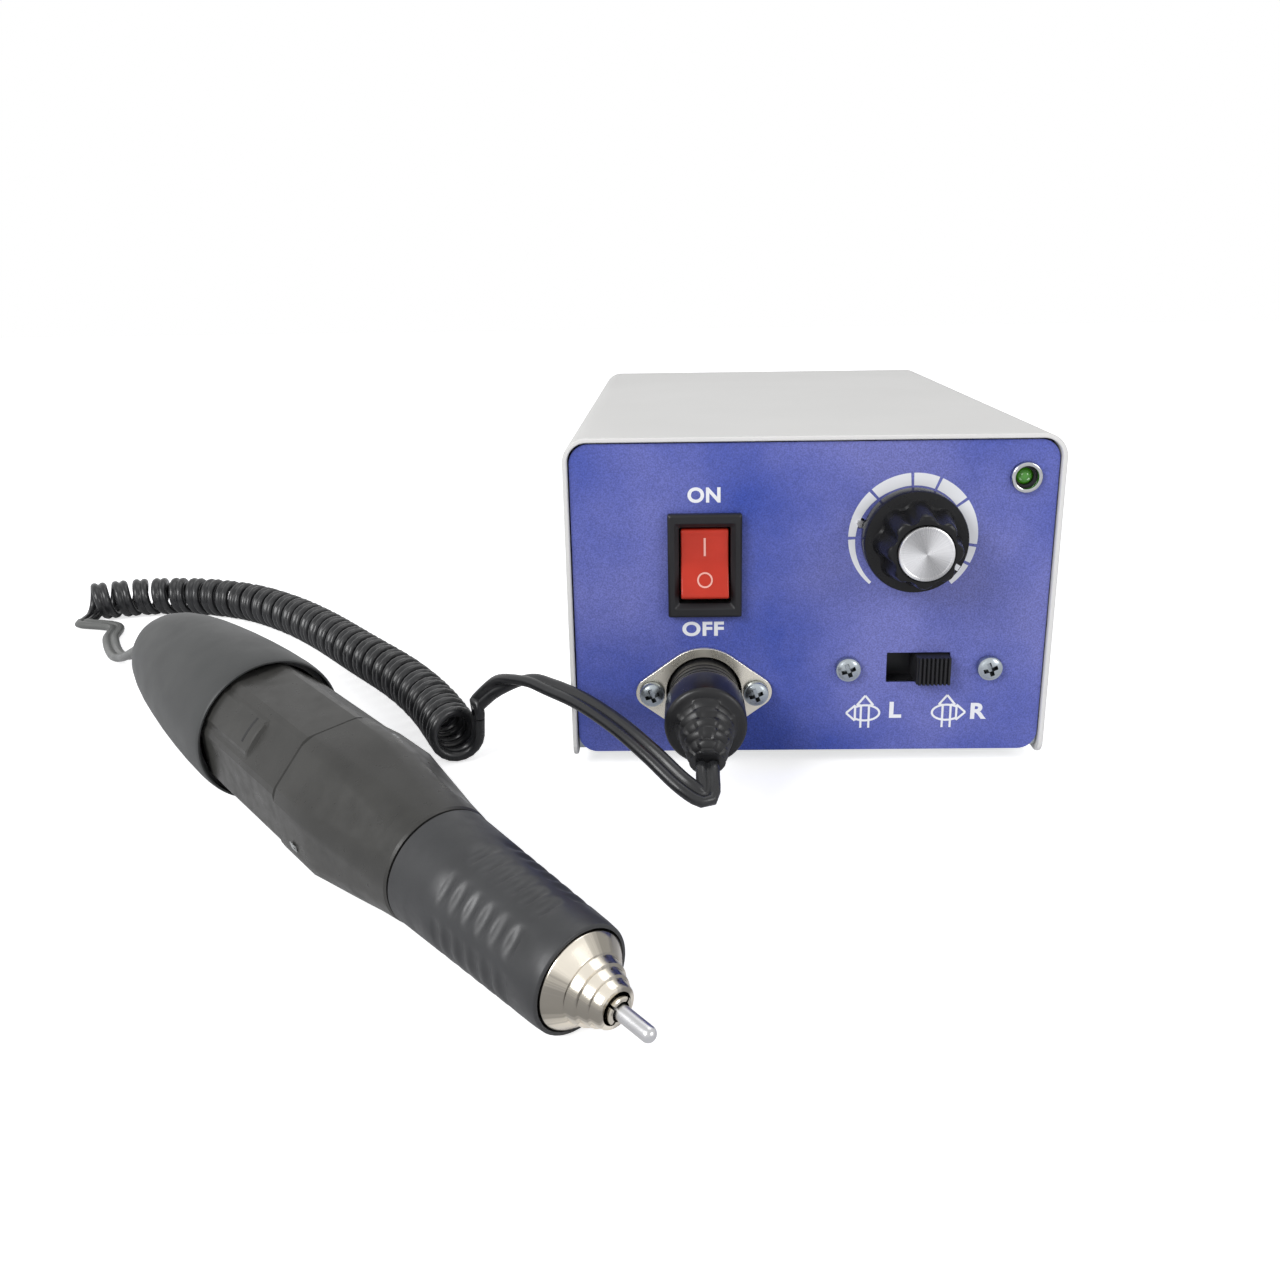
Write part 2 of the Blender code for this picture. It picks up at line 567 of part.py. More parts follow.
def make_chassis(front, rear):
    """A bent sheet: front panel, floor and rear panel in one, with side flanges and board pillars."""
    t, bend = CHASSIS_SHEET, CHASSIS_BEND
    d, h = HALF_DEPTH, BOX_HEIGHT
    outer = [(-d, h)] + arc(-d + bend, bend, bend, 180, 270, 4)
    outer += arc(d - bend, bend, bend, 270, 360, 4) + [(d, h)]
    inner = [(d - t, h)] + arc(d - bend, bend, bend - t, 360, 270, 4)
    inner += arc(-d + bend, bend, bend - t, 270, 180, 4) + [(-d + t, h)]
    along_x = Matrix(((0, 0, 1, 0), (1, 0, 0, 0), (0, 1, 0, 0), (0, 0, 0, 1)))
    bm = prism(bmesh.new(), outer + inner, -HALF_WIDTH, HALF_WIDTH, along_x)
    chassis = finish(bm, "chassis", ZINC)

    extra = bmesh.new()
    for side in (-1, 1):
        x = side * (HALF_WIDTH - t / 2)
        prism(extra, rectangle(t, BOX_DEPTH - 4 * bend, 0, x, 0), t / 2, SIDE_FLANGE_HEIGHT)
        for end in (-1, 1):
            px = BOARD_X + side * (BOARD_WIDTH / 2 - PILLAR_INSET)
            py = BOARD_Y + end * (BOARD_LENGTH / 2 - PILLAR_INSET)
            prism(extra, circle(PILLAR_RADIUS, 8, px, py), t / 2, t + PILLAR_HEIGHT)
    cut(chassis, extra, union=True)

    corners = bmesh.new()
    across_y = Matrix(((1, 0, 0, 0), (0, 0, -1, 0), (0, 1, 0, 0), (0, 0, 0, 1)))
    for side in (-1, 1):
        waste = corner_waste(side * HALF_WIDTH, h, PANEL_CORNER, side, 1)
        prism(corners, waste, -d - OVERRUN, d + OVERRUN, across_y)
    cut(chassis, corners)

    back = -(OVERLAY_THICKNESS + TOUCH + t) - OVERRUN
    cut(chassis, front_holes(bmesh.new(), TOUCH, back, 0), front)
    cut(chassis, rear_holes(bmesh.new(), -t - OVERRUN, OVERRUN), rear)

    floor = bmesh.new()
    for fx in (-1, 1):
        for fy in (-1, 1):
            x, y = fx * (HALF_WIDTH - FOOT_INSET_X), fy * (HALF_DEPTH - FOOT_INSET_Y)
            prism(floor, circle(FOOT_STEM_RADIUS + TOUCH, 8, x, y), -OVERRUN, t + OVERRUN)
    for i in range(VENT_COUNT):
        x = CORE_X + (i - (VENT_COUNT - 1) / 2) * VENT_PITCH
        y = -(PLATE_LENGTH + VENT_LENGTH) / 2 - VENT_GAP
        prism(floor, slot(VENT_LENGTH, VENT_WIDTH, x, y), -OVERRUN, t + OVERRUN)
    prism(floor, rectangle(PLATE_WIDTH, PLATE_LENGTH), -OVERRUN, PLATE_GROOVE_DEPTH)
    cut(chassis, floor)
    island = bmesh.new()
    inside = rectangle(PLATE_WIDTH - 2 * PLATE_GROOVE_WIDTH, PLATE_LENGTH - 2 * PLATE_GROOVE_WIDTH)
    prism(island, inside, 0, t - PLATE_GROOVE_DEPTH)
    cut(chassis, island, union=True)

    sides = bmesh.new()
    for end in (-1, 1):
        y = end * (HALF_DEPTH - COVER_SCREW_INSET)
        across_x = Matrix.Translation((0, y, COVER_SCREW_RISE)) @ Matrix.Rotation(math.pi / 2, 4, "Y")
        for side in (-1, 1):
            x = side * (HALF_WIDTH - t / 2)
            prism(sides, circle(SCREW_SHANK_RADIUS + TOUCH, 8), x - t, x + t, across_x)
    cut(chassis, sides)


def make_overlay(front):
    """The printed plastic sheet on the front panel, with the panel's openings."""
    height = BOX_HEIGHT - OVERLAY_REVEAL
    outline = rectangle(BOX_WIDTH, height, PANEL_CORNER, 0, OVERLAY_REVEAL + height / 2, 4)
    overlay = finish(solid(outline, -OVERLAY_THICKNESS, 0), "front_overlay", BLUE, front)
    cut(overlay, front_holes(bmesh.new(), 0, -OVERLAY_THICKNESS - OVERRUN, OVERRUN), front)
    return overlay


def make_cover():
    """The painted steel cover: one sheet bent over the top, with both sides down past the chassis."""
    w, top, r, t = COVER_HALF, COVER_TOP, COVER_BEND, COVER_SHEET
    outer = [(w, -COVER_SKIRT)] + arc(w - r, top - r, r, 0, 90, 5) + arc(-w + r, top - r, r, 90, 180, 5)
    outer += [(-w, -COVER_SKIRT), (-w + t, -COVER_SKIRT)]
    inner = arc(-w + r, top - r, r - t, 180, 90, 5) + arc(w - r, top - r, r - t, 90, 0, 5)
    inner += [(w - t, -COVER_SKIRT)]
    across_y = Matrix(((1, 0, 0, 0), (0, 0, -1, 0), (0, 1, 0, 0), (0, 0, 0, 1)))
    bm = prism(bmesh.new(), outer + inner, -COVER_HALF_DEPTH, COVER_HALF_DEPTH, across_y)
    cover = finish(bm, "cover", PAINT)
    toes = bmesh.new()
    along_x = Matrix(((0, 0, 1, 0), (1, 0, 0, 0), (0, 1, 0, 0), (0, 0, 0, 1)))
    for end in (-1, 1):
        waste = corner_waste(end * COVER_HALF_DEPTH, -COVER_SKIRT, COVER_TOE, end, -1)
        prism(toes, waste, -w - OVERRUN, w + OVERRUN, along_x)
    for end in (-1, 1):
        y = end * (HALF_DEPTH - COVER_SCREW_INSET)
        across_x = Matrix.Translation((0, y, COVER_SCREW_RISE)) @ Matrix.Rotation(math.pi / 2, 4, "Y")
        for side in (-1, 1):
            x = side * (w - t / 2)
            prism(toes, circle(SCREW_SHANK_RADIUS + TOUCH, 8), x - t, x + t, across_x)
    cut(cover, toes)
    return cover


def make_foot(name, x, y):
    """A rubber foot with a push-in stem through the floor."""
    r, h = FOOT_RADIUS, FOOT_HEIGHT
    profile = [(0, -h + FOOT_RECESS_DEPTH), (FOOT_RECESS_RADIUS, -h + FOOT_RECESS_DEPTH),
               (FOOT_RECESS_RADIUS, -h), (r - FOOT_TAPER, -h), (r, -TOUCH), (FOOT_STEM_RADIUS, -TOUCH),
               (FOOT_STEM_RADIUS, CHASSIS_SHEET + FOOT_STEM_REACH), (0, CHASSIS_SHEET + FOOT_STEM_REACH)]
    return lathe(name, profile, RUBBER, None, (x, y, 0), 12)


def make_screw(name, parent, place, turn=None):
    """A pan-head screw with a cross recess; its seat is at its own origin."""
    r, h, s = SCREW_HEAD_RADIUS, SCREW_HEAD_HEIGHT, SCREW_SHANK_RADIUS
    profile = [(0, -SCREW_LENGTH), (s, -SCREW_LENGTH), (s, 0), (r, 0), (r, h / 2), (r * 3 / 4, h), (0, h)]
    screw = lathe(name, profile, ZINC, parent, place, 10)
    w, a = SCREW_RECESS_WIDTH / 2, SCREW_RECESS_SPAN / 2
    cross = [(a, -w), (a, w), (w, w), (w, a), (-w, a), (-w, w), (-a, w), (-a, -w),
             (-w, -w), (-w, -a), (w, -a), (w, -w)]
    tool = solid(cross, h - SCREW_RECESS_DEPTH, h + OVERRUN)
    if turn:
        screw.rotation_euler = turn
    cut(screw, tool, screw)
    return screw


def make_rocker_switch(front):
    """The rocker switch: a bezel and body in one with a well, and the rocker on its pivot axis."""
    place = (SWITCH_X, SWITCH_Z, 0)
    w, h, proud = SWITCH_WIDTH, SWITCH_HEIGHT, SWITCH_BEZEL_PROUD
    ow, oh = SWITCH_OPENING_WIDTH, SWITCH_OPENING_HEIGHT
    steps = [(SWITCH_BODY_WIDTH, SWITCH_BODY_HEIGHT, -SWITCH_BODY_DEPTH),
             (SWITCH_BODY_WIDTH, SWITCH_BODY_HEIGHT, TOUCH),
             (w, h, TOUCH), (w, h, proud - SWITCH_EDGE), (w - 2 * SWITCH_EDGE, h - 2 * SWITCH_EDGE, proud),
             (ow + 2 * SWITCH_CHAMFER, oh + 2 * SWITCH_CHAMFER, proud),
             (ow, oh, proud - SWITCH_CHAMFER), (ow, oh, proud - SWITCH_WELL_DEPTH)]
    loops = [[(x, y, z) for x, y in rectangle(a, b, SWITCH_EDGE, 0, 0, 1)] for a, b, z in steps]
    housing = finish(skin(bmesh.new(), loops), "switch_housing", BLACK, front, place)
    blades = bmesh.new()
    for i in (-1, 1):
        prism(blades, rectangle(SWITCH_BLADE_WIDTH, SWITCH_BLADE_THICKNESS, 0, 0, i * SWITCH_BODY_HEIGHT / 4),
              -SWITCH_BODY_DEPTH - SWITCH_BLADE_LENGTH, -SWITCH_BODY_DEPTH + SWITCH_BLADE_THICKNESS)
    cut(housing, blades, front, place, union=True)

    half, mid = ROCKER_LENGTH / 2, ROCKER_MID_HEIGHT
    tip = mid + half * math.tan(ROCKER_HALF_ANGLE)
    edge = ROCKER_EDGE
    outline = [(half, 0), (half, tip - edge), (half - edge, tip - edge / 4), (0, mid),
               (-half + edge, tip - edge / 4), (-half, tip - edge), (-half, 0),
               (-half / 3, -ROCKER_SLEEVE), (half / 3, -ROCKER_SLEEVE)]
    turn = Matrix(((0, 0, 1, 0), (1, 0, 0, 0), (0, 1, 0, 0), (0, 0, 0, 1)))
    lean = Matrix.Rotation(-ROCKER_HALF_ANGLE, 4, "X")
    bm = prism(bmesh.new(), outline, -ROCKER_WIDTH / 2, ROCKER_WIDTH / 2, lean @ turn)
    finish(bm, "rocker", RED, front, (SWITCH_X, SWITCH_Z, SWITCH_BEZEL_PROUD - ROCKER_PIVOT_DEPTH))


def make_speed_control(front):
    """The potentiometer with its nut and shaft, and the fluted knob with its metal cap."""
    place = (KNOB_X, KNOB_Z, 0)
    seat = -(OVERLAY_THICKNESS + TOUCH + CHASSIS_SHEET + TOUCH)
    bore = SHAFT_RADIUS + TOUCH
    profile = [(bore, seat - POT_DEPTH), (POT_RADIUS, seat - POT_DEPTH), (POT_RADIUS, seat),
               (BUSHING_RADIUS, seat), (BUSHING_RADIUS, BUSHING_PROUD), (bore, BUSHING_PROUD)]
    pot = lathe("speed_potentiometer", profile, STEEL, front, place, 16)
    dx, dy = POT_PIN_X - KNOB_X, POT_PIN_Z - KNOB_Z
    reach, way = math.hypot(dx, dy), Matrix.Rotation(math.atan2(dy, dx), 4, "Z")
    start = POT_RADIUS - POT_TAB_SHEET
    tab = rectangle(reach + POT_PIN_RADIUS * 2 - start, POT_PIN_RADIUS * 4, 0,
                    (reach + POT_PIN_RADIUS * 2 + start) / 2, 0)
    bm = prism(bmesh.new(), tab, seat - POT_TAB_SHEET, seat, way)
    cut(pot, bm, front, place, union=True)
    pin = prism(bmesh.new(), circle(POT_PIN_RADIUS, 8, dx, dy), seat - POT_TAB_SHEET / 2, POT_PIN_PROUD)
    cut(pot, pin, front, place, union=True)

    around = [2 * math.pi * i / 24 for i in range(24)]

    def hexagon(z):
        step = math.pi / 3
        size = [NUT_ACROSS_FLATS / 2 / math.cos((a + step / 2) % step - step / 2) for a in around]
        return [(r * math.cos(a), r * math.sin(a), z) for r, a in zip(size, around)]

    def ring(radius, z):
        return [(radius * math.cos(a), radius * math.sin(a), z) for a in around]

    eye = BUSHING_RADIUS + TOUCH
    top = TOUCH + NUT_THICKNESS
    loops = [hexagon(TOUCH), hexagon(top), ring(eye, top), ring(eye, TOUCH)]
    finish(skin(bmesh.new(), loops, closed=True), "potentiometer_nut", ZINC, front, place)

    shaft = [(0, seat - POT_DEPTH + OVERRUN), (SHAFT_RADIUS, seat - POT_DEPTH + OVERRUN),
             (SHAFT_RADIUS, SHAFT_REACH), (0, SHAFT_REACH)]
    lathe("potentiometer_shaft", shaft, ALUMINIUM, front, place, 12)

    count = KNOB_FLUTES * 4
    turns = [2 * math.pi * i / count for i in range(count)]

    def loop(radius, z, flute=0.0):
        points = []
        for a in turns:
            wave = 0.5 - 0.5 * math.cos(KNOB_FLUTES * a)
            r = radius - flute * wave
            points.append((r * math.cos(a), r * math.sin(a), z))
        return points

    base, top = KNOB_STANDOFF, KNOB_HEIGHT
    rim = base + KNOB_SKIRT_HEIGHT
    room = BUSHING_PROUD + TOUCH
    nest = KNOB_CAP_RADIUS + TOUCH
    deep = KNOB_FLUTE_DEPTH
    edge = KNOB_SKIRT_EDGE
    loops = [loop(KNOB_SKIRT_RADIUS - edge, base), loop(KNOB_SKIRT_RADIUS, base + edge),
             loop(KNOB_SKIRT_RADIUS, rim - edge), loop(KNOB_SKIRT_RADIUS - 2 * edge, rim),
             loop(KNOB_BODY_RADIUS, rim + edge, deep), loop(KNOB_TOP_RADIUS, top - 2 * edge, deep),
             loop(KNOB_TOP_RADIUS - 2 * edge, top, deep / 3), loop(nest, top),
             loop(nest, top - KNOB_CAP_DEPTH), loop(bore, top - KNOB_CAP_DEPTH), loop(bore, room),
             loop(KNOB_ROOM_RADIUS, room), loop(KNOB_ROOM_RADIUS, base)]
    finish(skin(bmesh.new(), loops, closed=True), "speed_knob", BLACK, front, place)

    low, r = top - KNOB_CAP_DEPTH + TOUCH, KNOB_CAP_RADIUS
    cap = [(0, low), (r, low), (r, top + KNOB_CAP_PROUD / 2), (r - KNOB_CAP_PROUD / 2, top + KNOB_CAP_PROUD),
           (0, top + KNOB_CAP_PROUD)]
    lathe("knob_cap", cap, ALUMINIUM, front, place, 24)


def make_power_light(front):
    """The power light: a chrome holder through the panel and the green lamp in it."""
    place = (LED_X, LED_Z, 0)
    r, b, p = LED_RING_RADIUS, LED_RING_BORE, LED_RING_PROUD
    lip = LED_WALL / 2
    profile = [(b, -LED_SLEEVE_DEPTH), (LED_SLEEVE_RADIUS, -LED_SLEEVE_DEPTH), (LED_SLEEVE_RADIUS, TOUCH),
               (r, TOUCH), (r, p - lip), (r - lip, p), (b + lip, p), (b, p - 2 * lip)]
    lathe("light_holder", profile, CHROME, front, place, 16)
    dome = [(LED_RADIUS * math.cos(a), LED_RADIUS * math.sin(a))
            for a in [math.radians(d) for d in (0, 25, 50, 72)]]
    flange = LED_RING_BORE - TOUCH
    base = -LED_SLEEVE_DEPTH + LED_WALL
    profile = [(0, base), (flange, base), (flange, base + 2 * LED_WALL), (LED_RADIUS, base + 2 * LED_WALL)]
    profile += [(x, z - LED_RADIUS) for x, z in dome] + [(0, dome[-1][1] - LED_RADIUS)]
    lathe("light_lens", profile, GREEN, front, place, 12)


def make_direction_switch(front):
    """The slide switch behind its slot: frame and body in one, the ribbed slider and two screws."""
    place = (SLOT_X, SLOT_Z, 0)
    seat = -(OVERLAY_THICKNESS + TOUCH + CHASSIS_SHEET + TOUCH)
    sheet = SLIDE_FRAME_SHEET
    plate = rectangle(SLIDE_SCREW_PITCH + SLIDE_BODY_HEIGHT, SLIDE_BODY_HEIGHT, OVERLAY_THICKNESS, 0, 0, 1)
    body = finish(solid(plate, seat - sheet, seat), "direction_switch_body", BLACK, front, place)
    block = rectangle(SLOT_WIDTH + 4 * sheet, SLIDE_BODY_HEIGHT - sheet)
    cut(body, solid(block, seat - SLIDE_BODY_DEPTH, seat - sheet / 2), front, place, union=True)
    waste = bmesh.new()
    prism(waste, rectangle(SLOT_WIDTH + 2 * TOUCH, SLOT_HEIGHT + 2 * TOUCH),
          seat - SLIDE_WELL_DEPTH, seat + OVERRUN)
    for side in (-1, 1):
        prism(waste, circle(SCREW_SHANK_RADIUS + TOUCH, 8, side * SLIDE_SCREW_PITCH / 2, 0),
              seat - sheet - OVERRUN, seat + OVERRUN)
    cut(body, waste, front, place)

    w, h = SLIDER_WIDTH, SLOT_HEIGHT - 2 * TOUCH
    pitch = w / SLIDER_RIBS
    crest, root = SLIDER_PROUD, SLIDER_PROUD - SLIDER_RIB_DEPTH
    ridge = []
    for i in range(SLIDER_RIBS):
        x = w / 2 - i * pitch
        ridge += [(x, crest), (x - pitch / 2, crest), (x - pitch * 3 / 4, root)]
    ridge = ridge[:-1] + [(-w / 2, root)]
    low = seat - SLIDE_WELL_DEPTH + TOUCH
    outline = [(-w / 2, low), (w / 2, low)] + ridge
    turn = Matrix(((1, 0, 0, 0), (0, 0, -1, 0), (0, 1, 0, 0), (0, 0, 0, 1)))
    rest = SLOT_X + (SLOT_WIDTH - w) / 2 - SLIDE_CLEARANCE
    bm = prism(bmesh.new(), outline, -h / 2, h / 2, turn)
    finish(bm, "direction_slider", BLACK, front, (rest, SLOT_Z, 0))
    for i, side in enumerate((-1, 1)):
        make_screw("direction_switch_screw_%d" % (i + 1), front,
                   (SLOT_X + side * SLIDE_SCREW_PITCH / 2, SLOT_Z, TOUCH))


def make_socket(front):
    """The round motor socket: nickel flange with its sleeve, insulator and two screws."""
    place = (SOCKET_X, SOCKET_Z, 0)
    big, small, reach = FLANGE_HALF_HEIGHT, FLANGE_TIP_RADIUS, FLANGE_HALF_WIDTH - FLANGE_TIP_RADIUS
    lean = math.degrees(math.acos((big - small) / reach))
    outline = arc(reach, 0, small, -lean, lean, 6) + arc(0, 0, big, lean, 180 - lean, 8)
    outline += arc(-reach, 0, small, 180 - lean, 180 + lean, 6) + arc(0, 0, big, 180 + lean, 360 - lean, 8)
    flange = finish(solid(outline, TOUCH, TOUCH + FLANGE_SHEET), "socket_flange", NICKEL, front, place)
    sleeve = circle(SOCKET_BORE + SOCKET_SLEEVE_WALL, 24)
    cut(flange, solid(sleeve, -SOCKET_SLEEVE_DEPTH, TOUCH + FLANGE_SHEET / 2), front, place, union=True)
    holes = solid(circle(SOCKET_BORE, 24), -SOCKET_SLEEVE_DEPTH - OVERRUN, FLANGE_SHEET + OVERRUN)
    for side in (-1, 1):
        prism(holes, circle(SCREW_SHANK_RADIUS + TOUCH, 8, side * SOCKET_SCREW_PITCH / 2, 0),
              -OVERRUN / 2, FLANGE_SHEET + OVERRUN)
    cut(flange, holes, front, place)

    face = -(PLUG_ENTRY + TOUCH)
    r = SOCKET_INSERT_RADIUS
    profile = [(0, -SOCKET_SLEEVE_DEPTH), (SOCKET_BORE - TOUCH, -SOCKET_SLEEVE_DEPTH),
               (SOCKET_BORE - TOUCH, -SOCKET_SLEEVE_DEPTH + FLANGE_SHEET),
               (r, -SOCKET_SLEEVE_DEPTH + FLANGE_SHEET), (r, face), (0, face)]
    insert = lathe("socket_insert", profile, BLACK, front, place, 24)
    pins = bmesh.new()
    for i in range(SOCKET_PIN_COUNT):
        a = math.radians(45 + i * 360 / SOCKET_PIN_COUNT)
        x, y = SOCKET_PIN_CIRCLE * math.cos(a), SOCKET_PIN_CIRCLE * math.sin(a)
        prism(pins, circle(SOCKET_PIN_HOLE, 6, x, y),
              face - SOCKET_PIN_DEPTH, face + OVERRUN)
    cut(insert, pins, front, place)
    for i, side in enumerate((-1, 1)):
        make_screw("socket_screw_%d" % (i + 1), front,
                   (SOCKET_X + side * SOCKET_SCREW_PITCH / 2, SOCKET_Z, TOUCH + FLANGE_SHEET + TOUCH))


def make_rear_fittings(rear):
    """What the rear panel carries: mains inlet, fuse holder with its cap, and the foot control jack."""
    place = (INLET_X, INLET_Z, 0)
    behind = -(CHASSIS_SHEET + INLET_BODY_DEPTH)
    corner = INLET_FLANGE / 2
    steps = [(INLET_BODY_WIDTH, INLET_BODY_HEIGHT, behind), (INLET_BODY_WIDTH, INLET_BODY_HEIGHT, TOUCH),
             (INLET_WIDTH, INLET_HEIGHT, TOUCH), (INLET_WIDTH, INLET_HEIGHT, INLET_FLANGE),
             (INLET_WELL_WIDTH, INLET_WELL_HEIGHT, INLET_FLANGE),
             (INLET_WELL_WIDTH, INLET_WELL_HEIGHT, INLET_FLANGE - INLET_WELL_DEPTH)]
    loops = [[(x, y, z) for x, y in rectangle(a, b, corner, 0, 0, 2)] for a, b, z in steps]
    inlet = finish(skin(bmesh.new(), loops), "mains_inlet", BLACK, rear, place)
    pins = bmesh.new()
    floor = INLET_FLANGE - INLET_WELL_DEPTH
    low = -INLET_EARTH_RISE
    for x, y in ((-INLET_PIN_PITCH, low), (0, INLET_EARTH_RISE), (INLET_PIN_PITCH, low)):
        prism(pins, rectangle(INLET_PIN_WIDTH, INLET_PIN_HEIGHT, 0, x, y),
              floor - INLET_PIN_WIDTH / 2, floor + INLET_PIN_LENGTH)
    cut(inlet, pins, rear, place, union=True)

    place = (FUSE_X, FUSE_Z, 0)
    behind = -(CHASSIS_SHEET + FUSE_BODY_LENGTH)
    profile = [(0, behind), (FUSE_RADIUS, behind), (FUSE_RADIUS, TOUCH), (FUSE_FLANGE_RADIUS, TOUCH),
               (FUSE_FLANGE_RADIUS, FUSE_FLANGE), (FUSE_BORE, FUSE_FLANGE), (FUSE_BORE, behind + FUSE_FLANGE),
               (0, behind + FUSE_FLANGE)]
    lathe("fuse_holder", profile, BLACK, rear, place, 16)
    low = FUSE_FLANGE + TOUCH
    stem = FUSE_BORE - TOUCH
    profile = [(0, FUSE_FLANGE - FUSE_CAP_STEM), (stem, FUSE_FLANGE - FUSE_CAP_STEM), (stem, low),
               (FUSE_CAP_RADIUS, low), (FUSE_CAP_RADIUS, low + FUSE_CAP_HEIGHT - FUSE_FLANGE / 4),
               (FUSE_CAP_RADIUS - FUSE_FLANGE / 4, low + FUSE_CAP_HEIGHT), (0, low + FUSE_CAP_HEIGHT)]
    cap = lathe("fuse_cap", profile, BLACK, rear, place, 16)
    groove = rectangle(FUSE_SLOT_WIDTH, 2 * FUSE_CAP_RADIUS + OVERRUN)
    top = low + FUSE_CAP_HEIGHT
    cut(cap, solid(groove, top - FUSE_SLOT_WIDTH, top + OVERRUN), rear, place)

    place = (JACK_X, JACK_Z, 0)
    neck, sheet = JACK_NECK_RADIUS, CHASSIS_SHEET + TOUCH
    half = JACK_BODY_WIDTH / 2
    profile = [(JACK_BORE, -JACK_DEPTH), (half, -JACK_DEPTH), (half, -sheet), (neck, -sheet), (neck, TOUCH),
               (JACK_RADIUS, TOUCH), (JACK_RADIUS, JACK_PROUD), (JACK_BORE, JACK_PROUD)]
    lathe("foot_control_jack", profile, BLACK, rear, place, 16)


def make_electrics():
    """Mains transformer on its bracket, and the control board on the chassis' pillars."""
    w, d, h, leg = CORE_WIDTH, CORE_DEPTH, CORE_HEIGHT, CORE_LEG
    floor = CHASSIS_SHEET + TOUCH + BRACKET_SHEET + TOUCH
    across_y = Matrix(((1, 0, 0, 0), (0, 0, -1, 0), (0, 1, 0, 0), (0, 0, 0, 1)))
    place = (CORE_X, CORE_Y, floor)
    core = finish(prism(bmesh.new(), rectangle(w, h, 0, 0, h / 2), -d / 2, d / 2, across_y),
                  "transformer_core", STEEL, None, place)
    windows = bmesh.new()
    window = (w - 4 * leg) / 2
    for side in (-1, 1):
        outline = rectangle(window, h - 2 * leg, 0, side * (leg + window / 2), h / 2)
        prism(windows, outline, -d / 2 - OVERRUN, d / 2 + OVERRUN, across_y)
    cut(core, windows, None, place)

    inside_w, inside_d = 2 * leg + 2 * TOUCH, d + 2 * TOUCH
    outside_w, outside_d = 2 * (leg + window) - 2 * TOUCH, d + 2 * COIL_BULGE
    low, high = floor + leg + TOUCH, floor + h - leg - TOUCH
    rows = []
    for size_w, size_d, corner in ((outside_w, outside_d, window / 2), (inside_w, inside_d, TOUCH)):
        rows.append(rectangle(size_w, size_d, corner, CORE_X, CORE_Y, 3))
    loops = [[(x, y, low) for x, y in rows[0]], [(x, y, high) for x, y in rows[0]],
             [(x, y, high) for x, y in rows[1]], [(x, y, low) for x, y in rows[1]]]
    finish(skin(bmesh.new(), loops, closed=True), "transformer_coil", COPPER)

    t = BRACKET_SHEET
    half = w / 2 + TOUCH
    top = BRACKET_SHEET + 2 * TOUCH + h
    outer = [(-half - t - BRACKET_FOOT, 0), (-half - t - BRACKET_FOOT, t), (-half - t, t),
             (-half - t, top + t), (half + t, top + t), (half + t, t), (half + t + BRACKET_FOOT, t),
             (half + t + BRACKET_FOOT, 0), (half, 0), (half, top), (-half, top), (-half, 0)]
    place = (CORE_X, CORE_Y, CHASSIS_SHEET + TOUCH)
    bracket = prism(bmesh.new(), outer, -d / 2 + t, d / 2 - t, across_y)
    finish(bracket, "transformer_bracket", ZINC, None, place)

    top = CHASSIS_SHEET + PILLAR_HEIGHT + TOUCH
    board = finish(solid(rectangle(BOARD_WIDTH, BOARD_LENGTH), 0, BOARD_THICKNESS), "circuit_board",
                   BOARD_GREEN, None, (BOARD_X, BOARD_Y, top))
    r, tall = CAPACITOR_RADIUS, CAPACITOR_HEIGHT
    can = turned(bmesh.new(), [(0, 0), (r, 0), (r, tall), (0, tall)], 16)
    cut(board, can, None, (BOARD_X, BOARD_Y + BOARD_LENGTH / 4, top + BOARD_THICKNESS / 2), union=True)


def handpiece_frame():
    """An empty on the handpiece's axis: Z forward, X up, at the rear cap's lip."""
    rise = CAP_BELLY_RADIUS * math.cos(TILT) + CAP_BELLY * math.sin(TILT)
    origin = Vector((LIP_X, LIP_Y, TABLE_Z + rise))
    level = math.cos(TILT)
    forward = Vector((level * math.cos(HEADING), level * math.sin(HEADING), -math.sin(TILT)))
    side = forward.cross(Vector((0, 0, 1))).normalized()
    up = side.cross(forward)
    made = bpy.data.objects.new("handpiece_axis", None)
    made.matrix_world = Matrix.Translation(origin) @ Matrix((up, side, forward)).transposed().to_4x4()
    bpy.context.scene.collection.objects.link(made)
    return made


def facet_loop(z, turns, flat=0.0, corner=0.0, pad=0.0):
    """A turned bar with eight flats, at the angles turns; pad lifts the flat that carries the tab."""
    points = []
    for a in turns:
        off = (a - FIRST_FLAT + math.pi / 8) % (math.pi / 4) - math.pi / 8
        r = min(corner, flat / math.cos(off))
        if abs((a - TAB_ANGLE + math.pi) % (2 * math.pi) - math.pi) < TAB_HALF_ANGLE * 1.01:
            r = max(r, pad)
        points.append((r * math.cos(a), r * math.sin(a), z))
    return points


def facet_turns(offsets):
    """The angles round a bar with eight flats: the same offsets from the middle of every flat."""
    return [FIRST_FLAT + i * math.pi / 4 + off for i in range(8) for off in offsets]


def ring_loop(radius, z, turns):
    """A circle of points at given angles."""
    return [(radius * math.cos(a), radius * math.sin(a), z) for a in turns]


